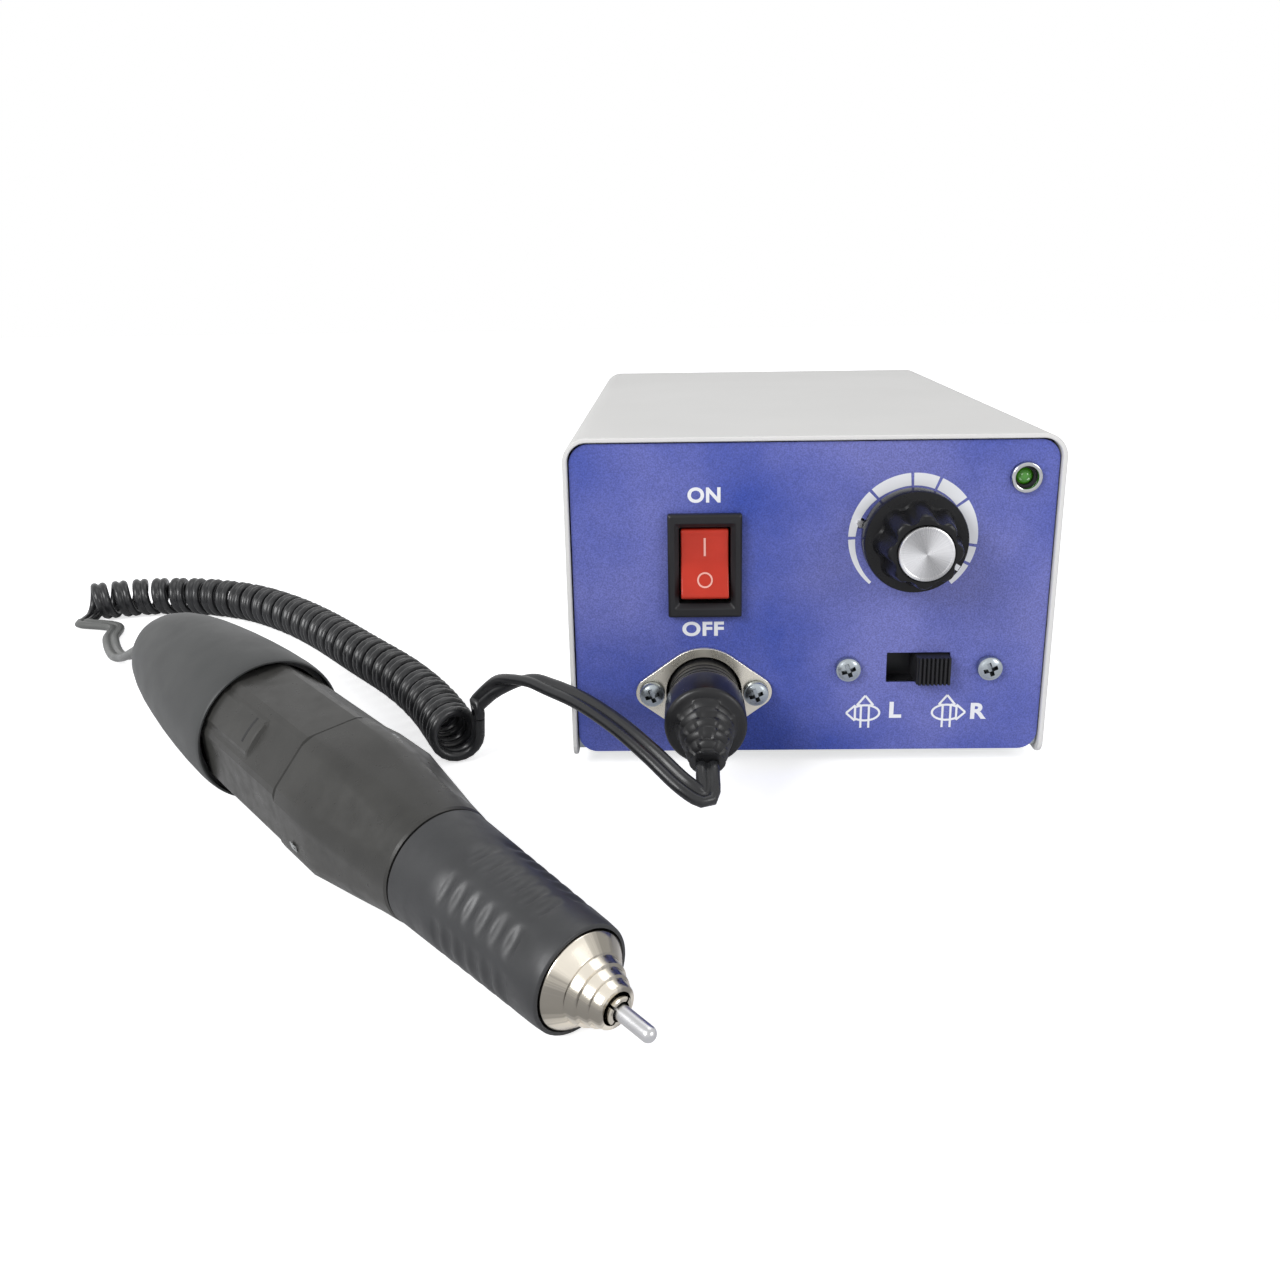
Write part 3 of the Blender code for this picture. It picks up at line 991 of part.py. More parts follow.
def make_casings(axis):
    """The handpiece's shells: rear cap, motor housing, chuck ring and front grip."""
    full, wall = CAP_BELLY_RADIUS, CAP_WALL
    growth = full - CAP_REAR_RADIUS
    outside = [(CAP_REAR * at, CAP_REAR_RADIUS + growth * share) for at, share in CAP_STATION_SHARES]
    middle = (CAP_BELLY + CAP_LIP) / 2
    outside += [(CAP_BELLY, full), (middle, (full + CAP_LIP_RADIUS) / 2), (CAP_LIP, CAP_LIP_RADIUS)]
    floor = CAP_LIP - CAP_RECESS
    recess = CAP_LIP_RADIUS - CAP_LIP_EDGE
    inside = [(CAP_LIP, recess), (floor, recess), (floor, CAP_LIP_RADIUS - wall)]
    inside += [(z, r - wall) for z, r in reversed(outside[2:-2])]
    back = outside[1][0] + wall
    inside += [(back, CAP_BORE_RADIUS), (CAP_REAR, CAP_BORE_RADIUS)]
    turns = [2 * math.pi * i / 28 for i in range(28)]
    loops = [ring_loop(r, z, turns) for z, r in outside + inside]
    finish(skin(bmesh.new(), loops, closed=True), "rear_cap", CAP_GREY, axis)

    half = math.acos(HOUSING_FLAT / HOUSING_ROUND)
    turns = facet_turns((-half, -TAB_HALF_ANGLE, 0, TAB_HALF_ANGLE, half))
    flat, corner = HOUSING_FLAT, HOUSING_ROUND
    start = floor + TOUCH
    collar = RING_REAR + COLLAR_REACH
    seat, bulkhead = BALL_RACE_OUTER + TOUCH, MAGNET_FRONT + END_PLATE
    loops = [ring_loop(HOUSING_SPIGOT, HOUSING_REAR, turns), ring_loop(HOUSING_SPIGOT, start, turns),
             facet_loop(start, turns, flat, corner, TAB_RADIUS),
             facet_loop(TAB_LENGTH, turns, flat, corner, TAB_RADIUS),
             facet_loop(TAB_LENGTH + TAB_FADE, turns, flat, corner),
             facet_loop(RING_REAR - TOUCH, turns, flat, corner),
             ring_loop(COLLAR_RADIUS, RING_REAR - TOUCH, turns), ring_loop(COLLAR_RADIUS, collar, turns),
             ring_loop(seat, collar, turns), ring_loop(seat, bulkhead, turns),
             ring_loop(HOUSING_BORE, bulkhead, turns), ring_loop(HOUSING_BORE, HOUSING_REAR, turns)]
    finish(skin(bmesh.new(), loops, closed=True), "motor_housing", BODY_GREY, axis)

    half = math.acos(RING_FLAT / RING_ROUND)
    turns = facet_turns((-half, 0, half, math.pi / 8))
    inner = COLLAR_RADIUS + SLIDE_CLEARANCE
    neck_bore = GRIP_SPIGOT + SLIDE_CLEARANCE
    loops = [ring_loop(RING_ROUND - RING_EDGE, RING_REAR, turns),
             facet_loop(RING_REAR + RING_EDGE, turns, RING_FLAT, RING_ROUND),
             facet_loop(RING_SHOULDER, turns, RING_FLAT, RING_ROUND),
             ring_loop(RING_NECK_ROUND, RING_NECK, turns), ring_loop(RING_FRONT_ROUND, RING_FRONT, turns),
             ring_loop(neck_bore, RING_FRONT, turns), ring_loop(neck_bore, RING_NECK, turns),
             ring_loop(inner, collar + OVERRUN, turns), ring_loop(inner, RING_REAR, turns)]
    finish(skin(bmesh.new(), loops, closed=True), "chuck_ring", BODY_GREY, axis)

    rear = RING_FRONT + TOUCH
    stations = [(rear, GRIP_REAR_RADIUS, 0)]
    slope = (GRIP_EDGE_RADIUS - GRIP_REAR_RADIUS) / (GRIP_EDGE - rear)
    half = GRIP_GROOVE_PITCH / 2
    for i in range(GRIP_GROOVES):
        z = GRIP_GROOVE_START + i * GRIP_GROOVE_PITCH
        for at, depth in ((z - half / 2, 0), (z, GRIP_GROOVE_DEPTH), (z + half / 2, 0)):
            stations.append((at, GRIP_REAR_RADIUS + slope * (at - rear), depth))
    stations += [(GRIP_EDGE, GRIP_EDGE_RADIUS, 0), (GRIP_FRONT - GRIP_LIP_EDGE, GRIP_FRONT_RADIUS, 0),
                 (GRIP_FRONT, GRIP_FRONT_RADIUS - GRIP_LIP_EDGE, 0)]
    turns = facet_turns((-math.pi / 12, 0, math.pi / 12))
    tail = collar + TOUCH
    loops = [ring_loop(GRIP_SPIGOT, tail, turns), ring_loop(GRIP_SPIGOT, rear, turns)]
    for z, r, depth in stations:
        points = ring_loop(r, z, turns)
        points[1::3] = ring_loop(r - depth, z, turns[1::3])
        loops.append(points)
    nose = NOSE_BASE_RADIUS + TOUCH
    base = GRIP_FRONT - NOSE_SEAT
    loops += [ring_loop(nose, GRIP_FRONT, turns), ring_loop(nose, base, turns),
              ring_loop(GRIP_BORE, base, turns), ring_loop(GRIP_BORE, tail, turns)]
    finish(skin(bmesh.new(), loops, closed=True), "front_grip", BODY_GREY, axis)


def make_motor(axis):
    """What the housing holds: magnet, armature with its shaft, commutator, brushes and bearings."""
    front, rear = MAGNET_FRONT, MAGNET_FRONT - MAGNET_LENGTH
    profile = [(MAGNET_INNER, rear), (MAGNET_OUTER, rear), (MAGNET_OUTER, front), (MAGNET_INNER, front)]
    lathe("magnet_ring", profile, FERRITE, axis, sides=20)

    middle = (front + rear) / 2
    low, high = middle - ARMATURE_LENGTH / 2, middle + ARMATURE_LENGTH / 2
    outline = []
    half = math.asin(ARMATURE_SLOT_WIDTH / 2 / ARMATURE_RADIUS)
    floor = ARMATURE_RADIUS - ARMATURE_SLOT_DEPTH
    for i in range(ARMATURE_SLOTS):
        a = 2 * math.pi * i / ARMATURE_SLOTS
        next_slot = a + 2 * math.pi / ARMATURE_SLOTS
        for r, at in ((floor, a - half), (floor, a + half), (ARMATURE_RADIUS, a + half),
                      (ARMATURE_RADIUS, (a + next_slot) / 2), (ARMATURE_RADIUS, next_slot - half)):
            outline.append((r * math.cos(at), r * math.sin(at)))
    armature = finish(solid(outline, low, high), "armature", STEEL, axis)
    shaft, drive, end = MOTOR_SHAFT_RADIUS, COUPLING_RADIUS, SPINDLE_REAR - TOUCH
    start = RING_REAR + COLLAR_REACH + TOUCH
    inner_end = HOUSING_REAR
    profile = [(0, inner_end), (shaft, inner_end), (shaft, start), (drive, start), (drive, end), (0, end)]
    cut(armature, turned(bmesh.new(), profile, 12), axis, union=True)

    bore = MOTOR_SHAFT_RADIUS + TOUCH
    back = low - COMMUTATOR_GAP - COMMUTATOR_LENGTH
    profile = [(bore, back), (COMMUTATOR_RADIUS, back), (COMMUTATOR_RADIUS, back + COMMUTATOR_LENGTH),
               (bore, back + COMMUTATOR_LENGTH)]
    lathe("commutator", profile, COPPER, axis, sides=16)
    bell = HOUSING_REAR + END_BELL_THICKNESS
    inner = MAGNET_OUTER - END_BELL_WALL
    for i, side in enumerate((-1, 1)):
        start, end = COMMUTATOR_RADIUS + TOUCH, inner - TOUCH
        x = side * (start + end) / 2
        bm = solid(rectangle(end - start, BRUSH_WIDTH, 0, x, 0), bell + TOUCH, bell + TOUCH + BRUSH_DEPTH)
        finish(bm, "brush_%d" % (i + 1), CARBON, axis)
    seat = REAR_RACE_OUTER + TOUCH
    profile = [(seat, HOUSING_REAR), (MAGNET_OUTER, HOUSING_REAR), (MAGNET_OUTER, rear - TOUCH),
               (inner, rear - TOUCH), (inner, bell), (seat, bell)]
    lathe("brush_holder", profile, BLACK, axis, sides=16)
    make_race("rear_motor_bearing", axis, bore, REAR_RACE_OUTER, HOUSING_REAR, bell)
    start = MAGNET_FRONT + END_PLATE
    make_race("front_motor_bearing", axis, bore, BALL_RACE_OUTER, start, start + BALL_RACE_WIDTH)


def make_race(name, axis, inner, outer, low, high):
    """A ball bearing as one ring with a shallow groove between its races on its front face."""
    span, dip = outer - inner, (high - low) / 10
    profile = [(inner, low), (outer, low), (outer, high), (outer - span / 3, high),
               (outer - span / 3, high - dip), (inner + span / 3, high - dip), (inner + span / 3, high),
               (inner, high)]
    lathe(name, profile, STEEL, axis, sides=12)


def make_chuck(axis):
    """The working end: spindle in its bearings, spring, nose cone, slit collet and mandrel."""
    profile = [(SPINDLE_BORE, SPINDLE_REAR), (SPINDLE_RADIUS, SPINDLE_REAR), (SPINDLE_RADIUS, SPINDLE_FRONT),
               (SPINDLE_BORE, SPINDLE_FRONT)]
    lathe("spindle", profile, STEEL, axis, sides=12)
    race = SPINDLE_RADIUS + TOUCH
    for name, at in (("rear_spindle_bearing", REAR_RACE), ("front_spindle_bearing", FRONT_RACE)):
        make_race(name, axis, race, GRIP_BORE - TOUCH, at - BALL_RACE_WIDTH / 2, at + BALL_RACE_WIDTH / 2)

    low = REAR_RACE + BALL_RACE_WIDTH / 2 + TOUCH + SPRING_WIRE / 2
    high = FRONT_RACE - BALL_RACE_WIDTH / 2 - TOUCH - SPRING_WIRE / 2
    radius = SPINDLE_RADIUS + TOUCH + SPRING_WIRE / 2
    steps = SPRING_TURNS * 8
    rows = []
    for i in range(steps + 1):
        a = 2 * math.pi * i / 8
        out = Vector((math.cos(a), math.sin(a), 0))
        centre = out * radius + Vector((0, 0, low + (high - low) * i / steps))
        ring = [2 * math.pi * j / 5 for j in range(5)]
        up = Vector((0, 0, 1))
        rows.append([centre + SPRING_WIRE / 2 * (out * math.cos(b) + up * math.sin(b)) for b in ring])
    finish(skin(bmesh.new(), rows), "chuck_spring", STEEL, axis)

    base = GRIP_FRONT - NOSE_SEAT + TOUCH
    cone = GRIP_FRONT + NOSE_CONE
    profile = [(NOSE_BORE, base - NOSE_SPIGOT), (NOSE_SPIGOT_RADIUS, base - NOSE_SPIGOT),
               (NOSE_SPIGOT_RADIUS, base), (NOSE_BASE_RADIUS, base), (NOSE_BASE_RADIUS, GRIP_FRONT),
               (NOSE_SHOULDER_RADIUS, cone)]
    rise = (NOSE_FRONT - cone) / NOSE_STEPS
    drop = (NOSE_SHOULDER_RADIUS - NOSE_TIP_RADIUS) / NOSE_STEPS
    for i in range(NOSE_STEPS):
        r = NOSE_SHOULDER_RADIUS - drop * (i + 3 / 4)
        profile += [(r, cone + rise * i), (r - drop / 4, cone + rise * (i + 1))]
    profile += [(NOSE_BORE, NOSE_FRONT)]
    lathe("nose_cone", profile, NICKEL, axis, sides=24)

    bore = MANDREL_RADIUS + TOUCH
    back = COLLET_FRONT - COLLET_LENGTH
    profile = [(bore, back), (COLLET_RADIUS, back), (COLLET_RADIUS, COLLET_FRONT), (bore, COLLET_FRONT)]
    collet = lathe("collet", profile, NICKEL, axis, sides=16)
    slits = bmesh.new()
    for i in range(COLLET_SLITS):
        turn = Matrix.Rotation(math.radians(45 + 360 * i / COLLET_SLITS), 4, "Z")
        outline = rectangle(COLLET_RADIUS, COLLET_SLIT_WIDTH, 0, MANDREL_RADIUS + COLLET_RADIUS / 2, 0)
        prism(slits, outline, COLLET_FRONT - COLLET_SLIT_LENGTH, COLLET_FRONT + OVERRUN, turn)
    cut(collet, slits, axis)

    r = MANDREL_RADIUS
    profile = [(0, MANDREL_TIP - MANDREL_LENGTH), (r, MANDREL_TIP - MANDREL_LENGTH)]
    for i in range(MANDREL_DOME_STEPS + 1):
        a = math.radians(72) * i / MANDREL_DOME_STEPS
        profile.append((r * math.cos(a), MANDREL_TIP - r + r * math.sin(a)))
    profile.append((0, profile[-1][1]))
    lathe("mandrel", profile, STEEL, axis, sides=10)


def make_plug(front):
    """The moulded plug on the cord, with its ribbed strain relief, and its metal shell in the socket."""
    place = Vector((SOCKET_X, SOCKET_Z, 0))
    start, length = -PLUG_ENTRY, PLUG_BODY_LENGTH
    neck = PLUG_NECK_RADIUS
    stations = [(start, neck - PLUG_GROOVE_DEPTH), (start + PLUG_GROOVE_DEPTH, neck), (PLUG_COLLAR, neck)]
    for i in range(PLUG_GROOVES):
        z = PLUG_COLLAR + (i + 1) * PLUG_GROOVE_PITCH
        stations += [(z - PLUG_GROOVE_PITCH / 2, neck - PLUG_GROOVE_DEPTH), (z, neck + i * PLUG_GROOVE_DEPTH)]
    stations += [(PLUG_SHOULDER, PLUG_RADIUS), (length - PLUG_TAPER, PLUG_RADIUS)]
    stations += [(length, RELIEF_ROOT_RADIUS + PLUG_GROOVE_DEPTH)]
    path = [(Vector((0, 0, z)), Vector((0, 0, 1)), r) for z, r in stations]
    bend = RELIEF_LENGTH / RELIEF_DROOP
    for i in range(RELIEF_RIBS * 2 + 1):
        share = (i + 0.5) / (RELIEF_RIBS * 2 + 0.5)
        a = RELIEF_DROOP * share
        centre = Vector((0, -bend * (1 - math.cos(a)), length + bend * math.sin(a)))
        r = RELIEF_ROOT_RADIUS + (RELIEF_TIP_RADIUS - RELIEF_ROOT_RADIUS) * share
        r -= PLUG_GROOVE_DEPTH * (2 if i % 2 == 0 and i < RELIEF_RIBS * 2 else 0)
        path.append((centre, Vector((0, -math.sin(a), math.cos(a))), r))
    rows = []
    for centre, forward, r in path:
        across = Vector((1, 0, 0))
        up = forward.cross(across)
        turns = [2 * math.pi * i / 20 for i in range(20)]
        rows.append([centre + r * (across * math.cos(a) + up * math.sin(a)) for a in turns])
    finish(skin(bmesh.new(), rows), "din_plug", BLACK, front, place)

    outer, wall = PLUG_SHELL_RADIUS, PLUG_SHELL_WALL
    low, high = -PLUG_ENTRY - TOUCH - PLUG_SHELL_REACH, -PLUG_ENTRY - TOUCH
    profile = [(outer - wall, low), (outer, low), (outer, high), (outer - wall, high)]
    lathe("plug_shell", profile, NICKEL, front, place, 16)


def relief_end(front):
    """The strain relief's far end: its place and direction in the world."""
    bend = RELIEF_LENGTH / RELIEF_DROOP
    out = PLUG_BODY_LENGTH + bend * math.sin(RELIEF_DROOP)
    down = bend * (1 - math.cos(RELIEF_DROOP))
    place = Vector((SOCKET_X, FRONT_Y - out, SOCKET_Z - down))
    return place, Vector((0, -math.cos(RELIEF_DROOP), -math.sin(RELIEF_DROOP)))


# The cord's routes, in millimetres: the middle of the cord, and the middle of the coil
PLUG_LEAD_ROUTE = ((-22.6, -102.0, 8.1), (-26.8, -101.0, 10.2), (-32.9, -95.5, 13.8),
                   (-39.4, -88.5, 16.4), (-46.6, -81.0, 18.0), (-54.0, -74.0, 18.4),
                   (-59.3, -69.5, 18.2), (-66.2, -64.5, 15.1), (-72.5, -60.5, 8.7))
COIL_ROUTE = ((-76.5, -62.5), (-86.2, -44.2), (-97.2, -27.9), (-112.5, -9.8), (-129.8, 10.4),
              (-145.0, 25.4), (-161.5, 37.4), (-179.5, 44.0), (-197.0, 44.4), (-213.0, 39.2))
HANDPIECE_LEAD_ROUTE = ((-200.3, 28.3, -2.6), (-196.3, 18.2, -2.6), (-190.7, 8.7, -2.6),
                        (-184.2, -0.4, -1.4), (-176.7, -9.0, 1.8), (-169.0, -17.2, 6.5),
                        (-159.0, -29.0, 12.8))


def smooth(points, step):
    """Points at even steps on a smooth curve through the given ones."""
    knots = [Vector(p) for p in points]
    knots = [2 * knots[0] - knots[1]] + knots + [2 * knots[-1] - knots[-2]]
    fine = []
    for a, b, c, d in zip(knots, knots[1:], knots[2:], knots[3:]):
        for i in range(24):
            t = i / 24
            fine.append(((2 * b) + (c - a) * t + (2 * a - 5 * b + 4 * c - d) * t * t
                         + (3 * b - a - 3 * c + d) * t * t * t) / 2)
    fine.append(knots[-2])
    reach = [0.0]
    for a, b in zip(fine, fine[1:]):
        reach.append(reach[-1] + (b - a).length)
    count = max(2, round(reach[-1] / step))
    even, j = [], 0
    for i in range(count + 1):
        target = reach[-1] * i / count
        while j < len(reach) - 2 and reach[j + 1] < target:
            j += 1
        share = (target - reach[j]) / (reach[j + 1] - reach[j])
        even.append(fine[j].lerp(fine[j + 1], share))
    return even


def run_length(points):
    """Length of a run of points."""
    return sum((b - a).length for a, b in zip(points, points[1:]))


def tangents(points):
    """Directions along a run of points."""
    ends = [points[0]] + list(points) + [points[-1]]
    return [(c - a).normalized() for a, c in zip(ends, ends[2:])]


LOBE_SHARES = ((1.0, 0.0), (0.5, 0.5), (0.0, 0.2), (-0.5, 0.5),
               (-1.0, 0.0), (-0.5, -0.5), (0.0, -0.2), (0.5, -0.5))


def cord_solid(name, points, faces, finish_of, first, last):
    """A flat twin cord along points, between two end directions; its flat side looks along faces."""
    rows = []
    for point, forward, face in zip(points, [first] + tangents(points)[1:-1] + [last], faces):
        face = (face - forward * face.dot(forward)).normalized()
        wide = face.cross(forward)
        rows.append([point + LOBE * (wide * w + face * t) for w, t in LOBE_SHARES])
    return finish(skin(bmesh.new(), rows), name, finish_of)


def coil_points():
    """The curly cord's middle line and the directions away from its axis, with a straight end each side."""
    rise = TABLE_Z + COIL_RADIUS + LOBE / 2 + CORD_REST
    steps = round(CURLS * POINTS_PER_CURL)
    route = smooth([(x * MM, y * MM, rise) for x, y in COIL_ROUTE], LOBE)
    length = run_length(route)
    middle = smooth(route, length / steps)
    points, faces, ways = [], [], []
    for i, (centre, forward) in enumerate(zip(middle, tangents(middle))):
        turn = 2 * math.pi * (steps - i) / POINTS_PER_CURL - math.pi / 2
        side = forward.cross(Vector((0, 0, 1))).normalized()
        out = side * math.cos(turn) + Vector((0, 0, 1)) * math.sin(turn)
        round_it = side * math.sin(turn) - Vector((0, 0, 1)) * math.cos(turn)
        points.append(centre + out * COIL_RADIUS)
        faces.append(out)
        pitch = length / steps * POINTS_PER_CURL
        ways.append((forward * pitch + round_it * 2 * math.pi * COIL_RADIUS).normalized())
    points = [points[0] - ways[0] * CORD_WIDTH] + points + [points[-1] + ways[-1] * CORD_WIDTH]
    return points, [faces[0]] + faces + [faces[-1]], ways[0], ways[-1]


def make_cords(front, axis):
    """The cord in three stretches: plug to coil, the curly cord, and coil to handpiece."""
    points, faces, first, last = coil_points()
    cord_solid("curly_cord", points, faces, CORD_BLACK, first, last)
    way = tangents(points)
    rims = []
    for sign in (-1, 1):
        rims.append([p + sign * LOBE * f.cross(w) for p, f, w in zip(points, faces, way)])
    least = min((a - b).length for rim in rims for other in rims if other is not rim
                for a, b in zip(rim[1:-1], other[1 + POINTS_PER_CURL:-1]))
    print("curly cord: %.2f m of cord, least gap between curls %.2f mm" % (run_length(points), least / MM))

    start, out = relief_end(front)
    start, end = start + out * TOUCH, points[0] - first * TOUCH
    route = [start, start + out * LOBE] + [Vector(p) * MM for p in PLUG_LEAD_ROUTE]
    route += [end - first * LOBE, end]
    lead = smooth(route, LOBE * 7 / 4)
    flat = Vector((0, -math.sin(RELIEF_DROOP), math.cos(RELIEF_DROOP)))
    sides = [flat.lerp(faces[0], i / (len(lead) - 1)) for i in range(len(lead))]
    cord_solid("plug_lead", lead, sides, CORD_BLACK, out, first)
    print("plug lead: %.3f m" % run_length(lead))

    start = points[-1] + last * TOUCH
    end = axis.matrix_world @ Vector((0, 0, CAP_REAR + LOBE))
    mouth = axis.matrix_world @ Vector((0, 0, CAP_REAR - LOBE))
    route = [start, start + last * LOBE] + [Vector(p) * MM for p in HANDPIECE_LEAD_ROUTE] + [mouth, end]
    lead = smooth(route, LOBE * 7 / 4)
    flat = [Vector((0, 0, 1))] * len(lead)
    cord_solid("handpiece_lead", lead, flat, LEAD_GREY, last, (end - mouth).normalized())
    print("handpiece lead: %.3f m" % run_length(lead))


def main():
    for old in list(bpy.data.objects):
        bpy.data.objects.remove(old)
    front = frame("front_panel_frame", (0, FRONT_Y, 0), (math.pi / 2, 0, 0))
    rear = frame("rear_panel_frame", (0, HALF_DEPTH, 0), (math.pi / 2, 0, math.pi))
    bpy.context.view_layer.update()

    make_chassis(front, rear)
    make_overlay(front)
    make_cover()
    for i, (fx, fy) in enumerate(((-1, -1), (1, -1), (1, 1), (-1, 1))):
        make_foot("foot_%d" % (i + 1), fx * (HALF_WIDTH - FOOT_INSET_X), fy * (HALF_DEPTH - FOOT_INSET_Y))
        place = (fx * (COVER_HALF + TOUCH), fy * (HALF_DEPTH - COVER_SCREW_INSET), COVER_SCREW_RISE)
        make_screw("cover_screw_%d" % (i + 1), None, place, (0, fx * math.pi / 2, 0))
    make_rocker_switch(front)
    make_speed_control(front)
    make_power_light(front)
    make_direction_switch(front)
    make_socket(front)
    make_rear_fittings(rear)
    make_electrics()

    axis = handpiece_frame()
    bpy.context.view_layer.update()
    make_casings(axis)
    make_motor(axis)
    make_chuck(axis)
    make_plug(front)
    make_cords(front, axis)


main()
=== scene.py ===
"""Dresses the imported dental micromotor: finer pieces, materials, cord, floor, light and camera.

The front panel looks along -Y and the origin is under the box, as in the solids. Sizes are in
millimetres; the matrix that places a piece also turns it into the scene's metres.
"""
import math

import bmesh
import bpy
from mathutils import Matrix, Vector


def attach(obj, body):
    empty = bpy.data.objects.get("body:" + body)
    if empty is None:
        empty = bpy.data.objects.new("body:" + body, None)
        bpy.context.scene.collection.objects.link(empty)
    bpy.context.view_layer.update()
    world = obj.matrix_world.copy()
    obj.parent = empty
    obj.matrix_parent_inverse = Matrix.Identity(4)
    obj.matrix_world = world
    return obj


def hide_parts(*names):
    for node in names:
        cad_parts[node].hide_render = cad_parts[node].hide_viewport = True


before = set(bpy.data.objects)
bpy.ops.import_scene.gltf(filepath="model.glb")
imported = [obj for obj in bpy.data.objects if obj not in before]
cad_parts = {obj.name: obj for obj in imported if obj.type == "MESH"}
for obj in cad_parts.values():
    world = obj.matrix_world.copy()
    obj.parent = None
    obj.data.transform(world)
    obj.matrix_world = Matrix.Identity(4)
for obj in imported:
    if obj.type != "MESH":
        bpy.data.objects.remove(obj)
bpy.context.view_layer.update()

MM = 0.001
METRES = Matrix.Scale(MM, 4)
ROOT = "control_unit"
CORNERS = ((-1, -1), (1, -1), (1, 1), (-1, 1))
ALONG_X = Matrix(((0, 0, 1, 0), (1, 0, 0, 0), (0, 1, 0, 0), (0, 0, 0, 1)))
ALONG_Y = Matrix(((1, 0, 0, 0), (0, 0, -1, 0), (0, 1, 0, 0), (0, 0, 0, 1)))

# Camera, from the photograph's perspective
CAMERA_PLACE = Vector((-26.55, -275.8, 101.11)) * MM
CAMERA_YAW = -0.0154
CAMERA_PITCH = 0.2735
CAMERA_ROLL = -0.0144
CAMERA_LENS = 29.713
CAMERA_SHIFT = (-0.0207, -0.0598)
CAMERA_NEAR = 0.01
SENSOR = 36.0

# Light: name, place and target in metres, size and power
WHITE = (1.0, 1.0, 1.0, 1.0)
SKY_COLOUR = (0.96, 0.97, 1.0, 1.0)
SKY_STRENGTH = 0.36
LAMPS = (
    ("lamp_left", (-0.60, -0.62, 0.55), (-0.03, -0.05, 0.02), 0.45, 6.4),
    ("lamp_top", (0.20, 0.30, 0.95), (-0.02, -0.03, 0.02), 0.60, 1.6),
    ("lamp_right", (0.75, -0.65, 0.45), (0.0, -0.05, 0.03), 0.40, 3.0),
)
FLOOR_HALF = 1.6
FLOOR_COLOUR = (0.86, 0.86, 0.87, 1.0)
FLOOR_GLOW = {"From Min": 0.25, "From Max": 0.75, "To Min": 0.66, "To Max": 1.0}

# Box and front panel, the same sizes as the solids have
TABLE_Z = -4.0
FRONT_Y = -66.2
REAR_Y = 65.5
BOX_HALF_WIDTH = 49.2
BOX_HEIGHT = 67.2
OVERLAY_THICKNESS = 0.4
OVERLAY_REVEAL = 0.1
PANEL_CORNER = 4.0
TOUCH = 0.3
PRINT_LIFT = 0.02
PRINT_THICKNESS = 0.03
PRINT_STEP = 0.001
SWITCH = (-21.9, 42.0)
KNOB = (20.2, 47.6)
LAMP = (42.6, 59.6)
SLOT = (23.05, 18.95)
SLOT_SIZE = (13.3, 6.6)
SOCKET = (-22.2, 14.1)
POT_PIN = (9.8, 50.4)
FUSE = (0, 44.0)
FEET = (37.2, 48.5)
SLIDE_SCREW_PITCH = 29.7
SOCKET_SCREW_PITCH = 21.9
FLANGE_SHEET = 0.9
SHANK_HOLE = 1.7
COVER_HALF = 50.5
COVER_TOP = 68.5
COVER_SHEET = 1.0
COVER_BEND = 5.0
COVER_HALF_DEPTH = 67.0
COVER_SKIRT = 1.2
COVER_TOE = 3.0
COVER_SCREW_Y = 53.5
COVER_SCREW_Z = 7.5

# Speed scale: its middle, outer radius, the borders of its parts in degrees, and its thickness
SCALE_MIDDLE = (20.6, 47.5)
SCALE_OUTER = 13.2
SCALE_BORDERS = (231.0, 181.0, 133.0, 93.0, 67.0, 36.0, -9.0, -27.0, -52.0)
SCALE_GAP = 1.4
SCALE_THIN = 0.6
SCALE_THICK = 2.6
SCALE_FULL = 115.0

# Handpiece: stations along its axis from the rear cap's lip, forward positive
LIP = Vector((-104.3, -84.3, 0)) * MM
HEADING = math.radians(-45.5)
BELLY, BELLY_RADIUS = -14.0, 15.2
GRIP_EDGE, GRIP_EDGE_RADIUS = 88.0, 8.6
TILT = math.atan((BELLY_RADIUS - GRIP_EDGE_RADIUS) / (GRIP_EDGE - BELLY))
FIRST_FLAT = math.radians(5.0)
FLAT_SPAN = math.pi / 4
CAP_REAR = -70.0
RING_REAR = 21.4
RING_FRONT = 54.0
GRIP_FRONT = 90.0
GRIP_FRONT_RADIUS = 8.4

# Cord: two round cores side by side; the routes are of the cord's middle, and of the coil's
LOBE = 2.25
CORD_WIDTH = 2 * LOBE * MM
PLUG_LEAD_ROUTE = ((-22.6, -102.0, 8.1), (-26.8, -101.0, 10.2), (-32.9, -95.5, 13.8),
                   (-39.4, -88.5, 16.4), (-46.6, -81.0, 18.0), (-54.0, -74.0, 18.4),
                   (-59.3, -69.5, 18.2), (-66.2, -64.5, 15.1), (-72.5, -60.5, 8.7))
COIL_ROUTE = ((-76.5, -62.5), (-86.2, -44.2), (-97.2, -27.9), (-112.5, -9.8), (-129.8, 10.4),
              (-145.0, 25.4), (-161.5, 37.4), (-179.5, 44.0), (-197.0, 44.4), (-213.0, 39.2))
HANDPIECE_LEAD_ROUTE = ((-200.3, 28.3, -2.6), (-196.3, 18.2, -2.6), (-190.7, 8.7, -2.6),
                        (-184.2, -0.4, -1.4), (-176.7, -9.0, 1.8), (-169.0, -17.2, 6.5),
                        (-159.0, -29.0, 12.8))
COIL_RADIUS = 4.75
CURLS = 31.25
CORD_REST = 0.15
POINTS_PER_CURL = 20
RELIEF_DROOP = math.radians(24.0)
RELIEF_LENGTH = 11.2
RELIEF_BEND = RELIEF_LENGTH / RELIEF_DROOP
PLUG_LENGTH = 18.8


def front_place(x=0.0, z=0.0):
    """From a panel's own frame, where Z looks out of the front panel, to the scene."""
    return Matrix.Translation(Vector((x, FRONT_Y, z)) * MM) @ Matrix.Rotation(math.pi / 2, 4, "X") @ METRES


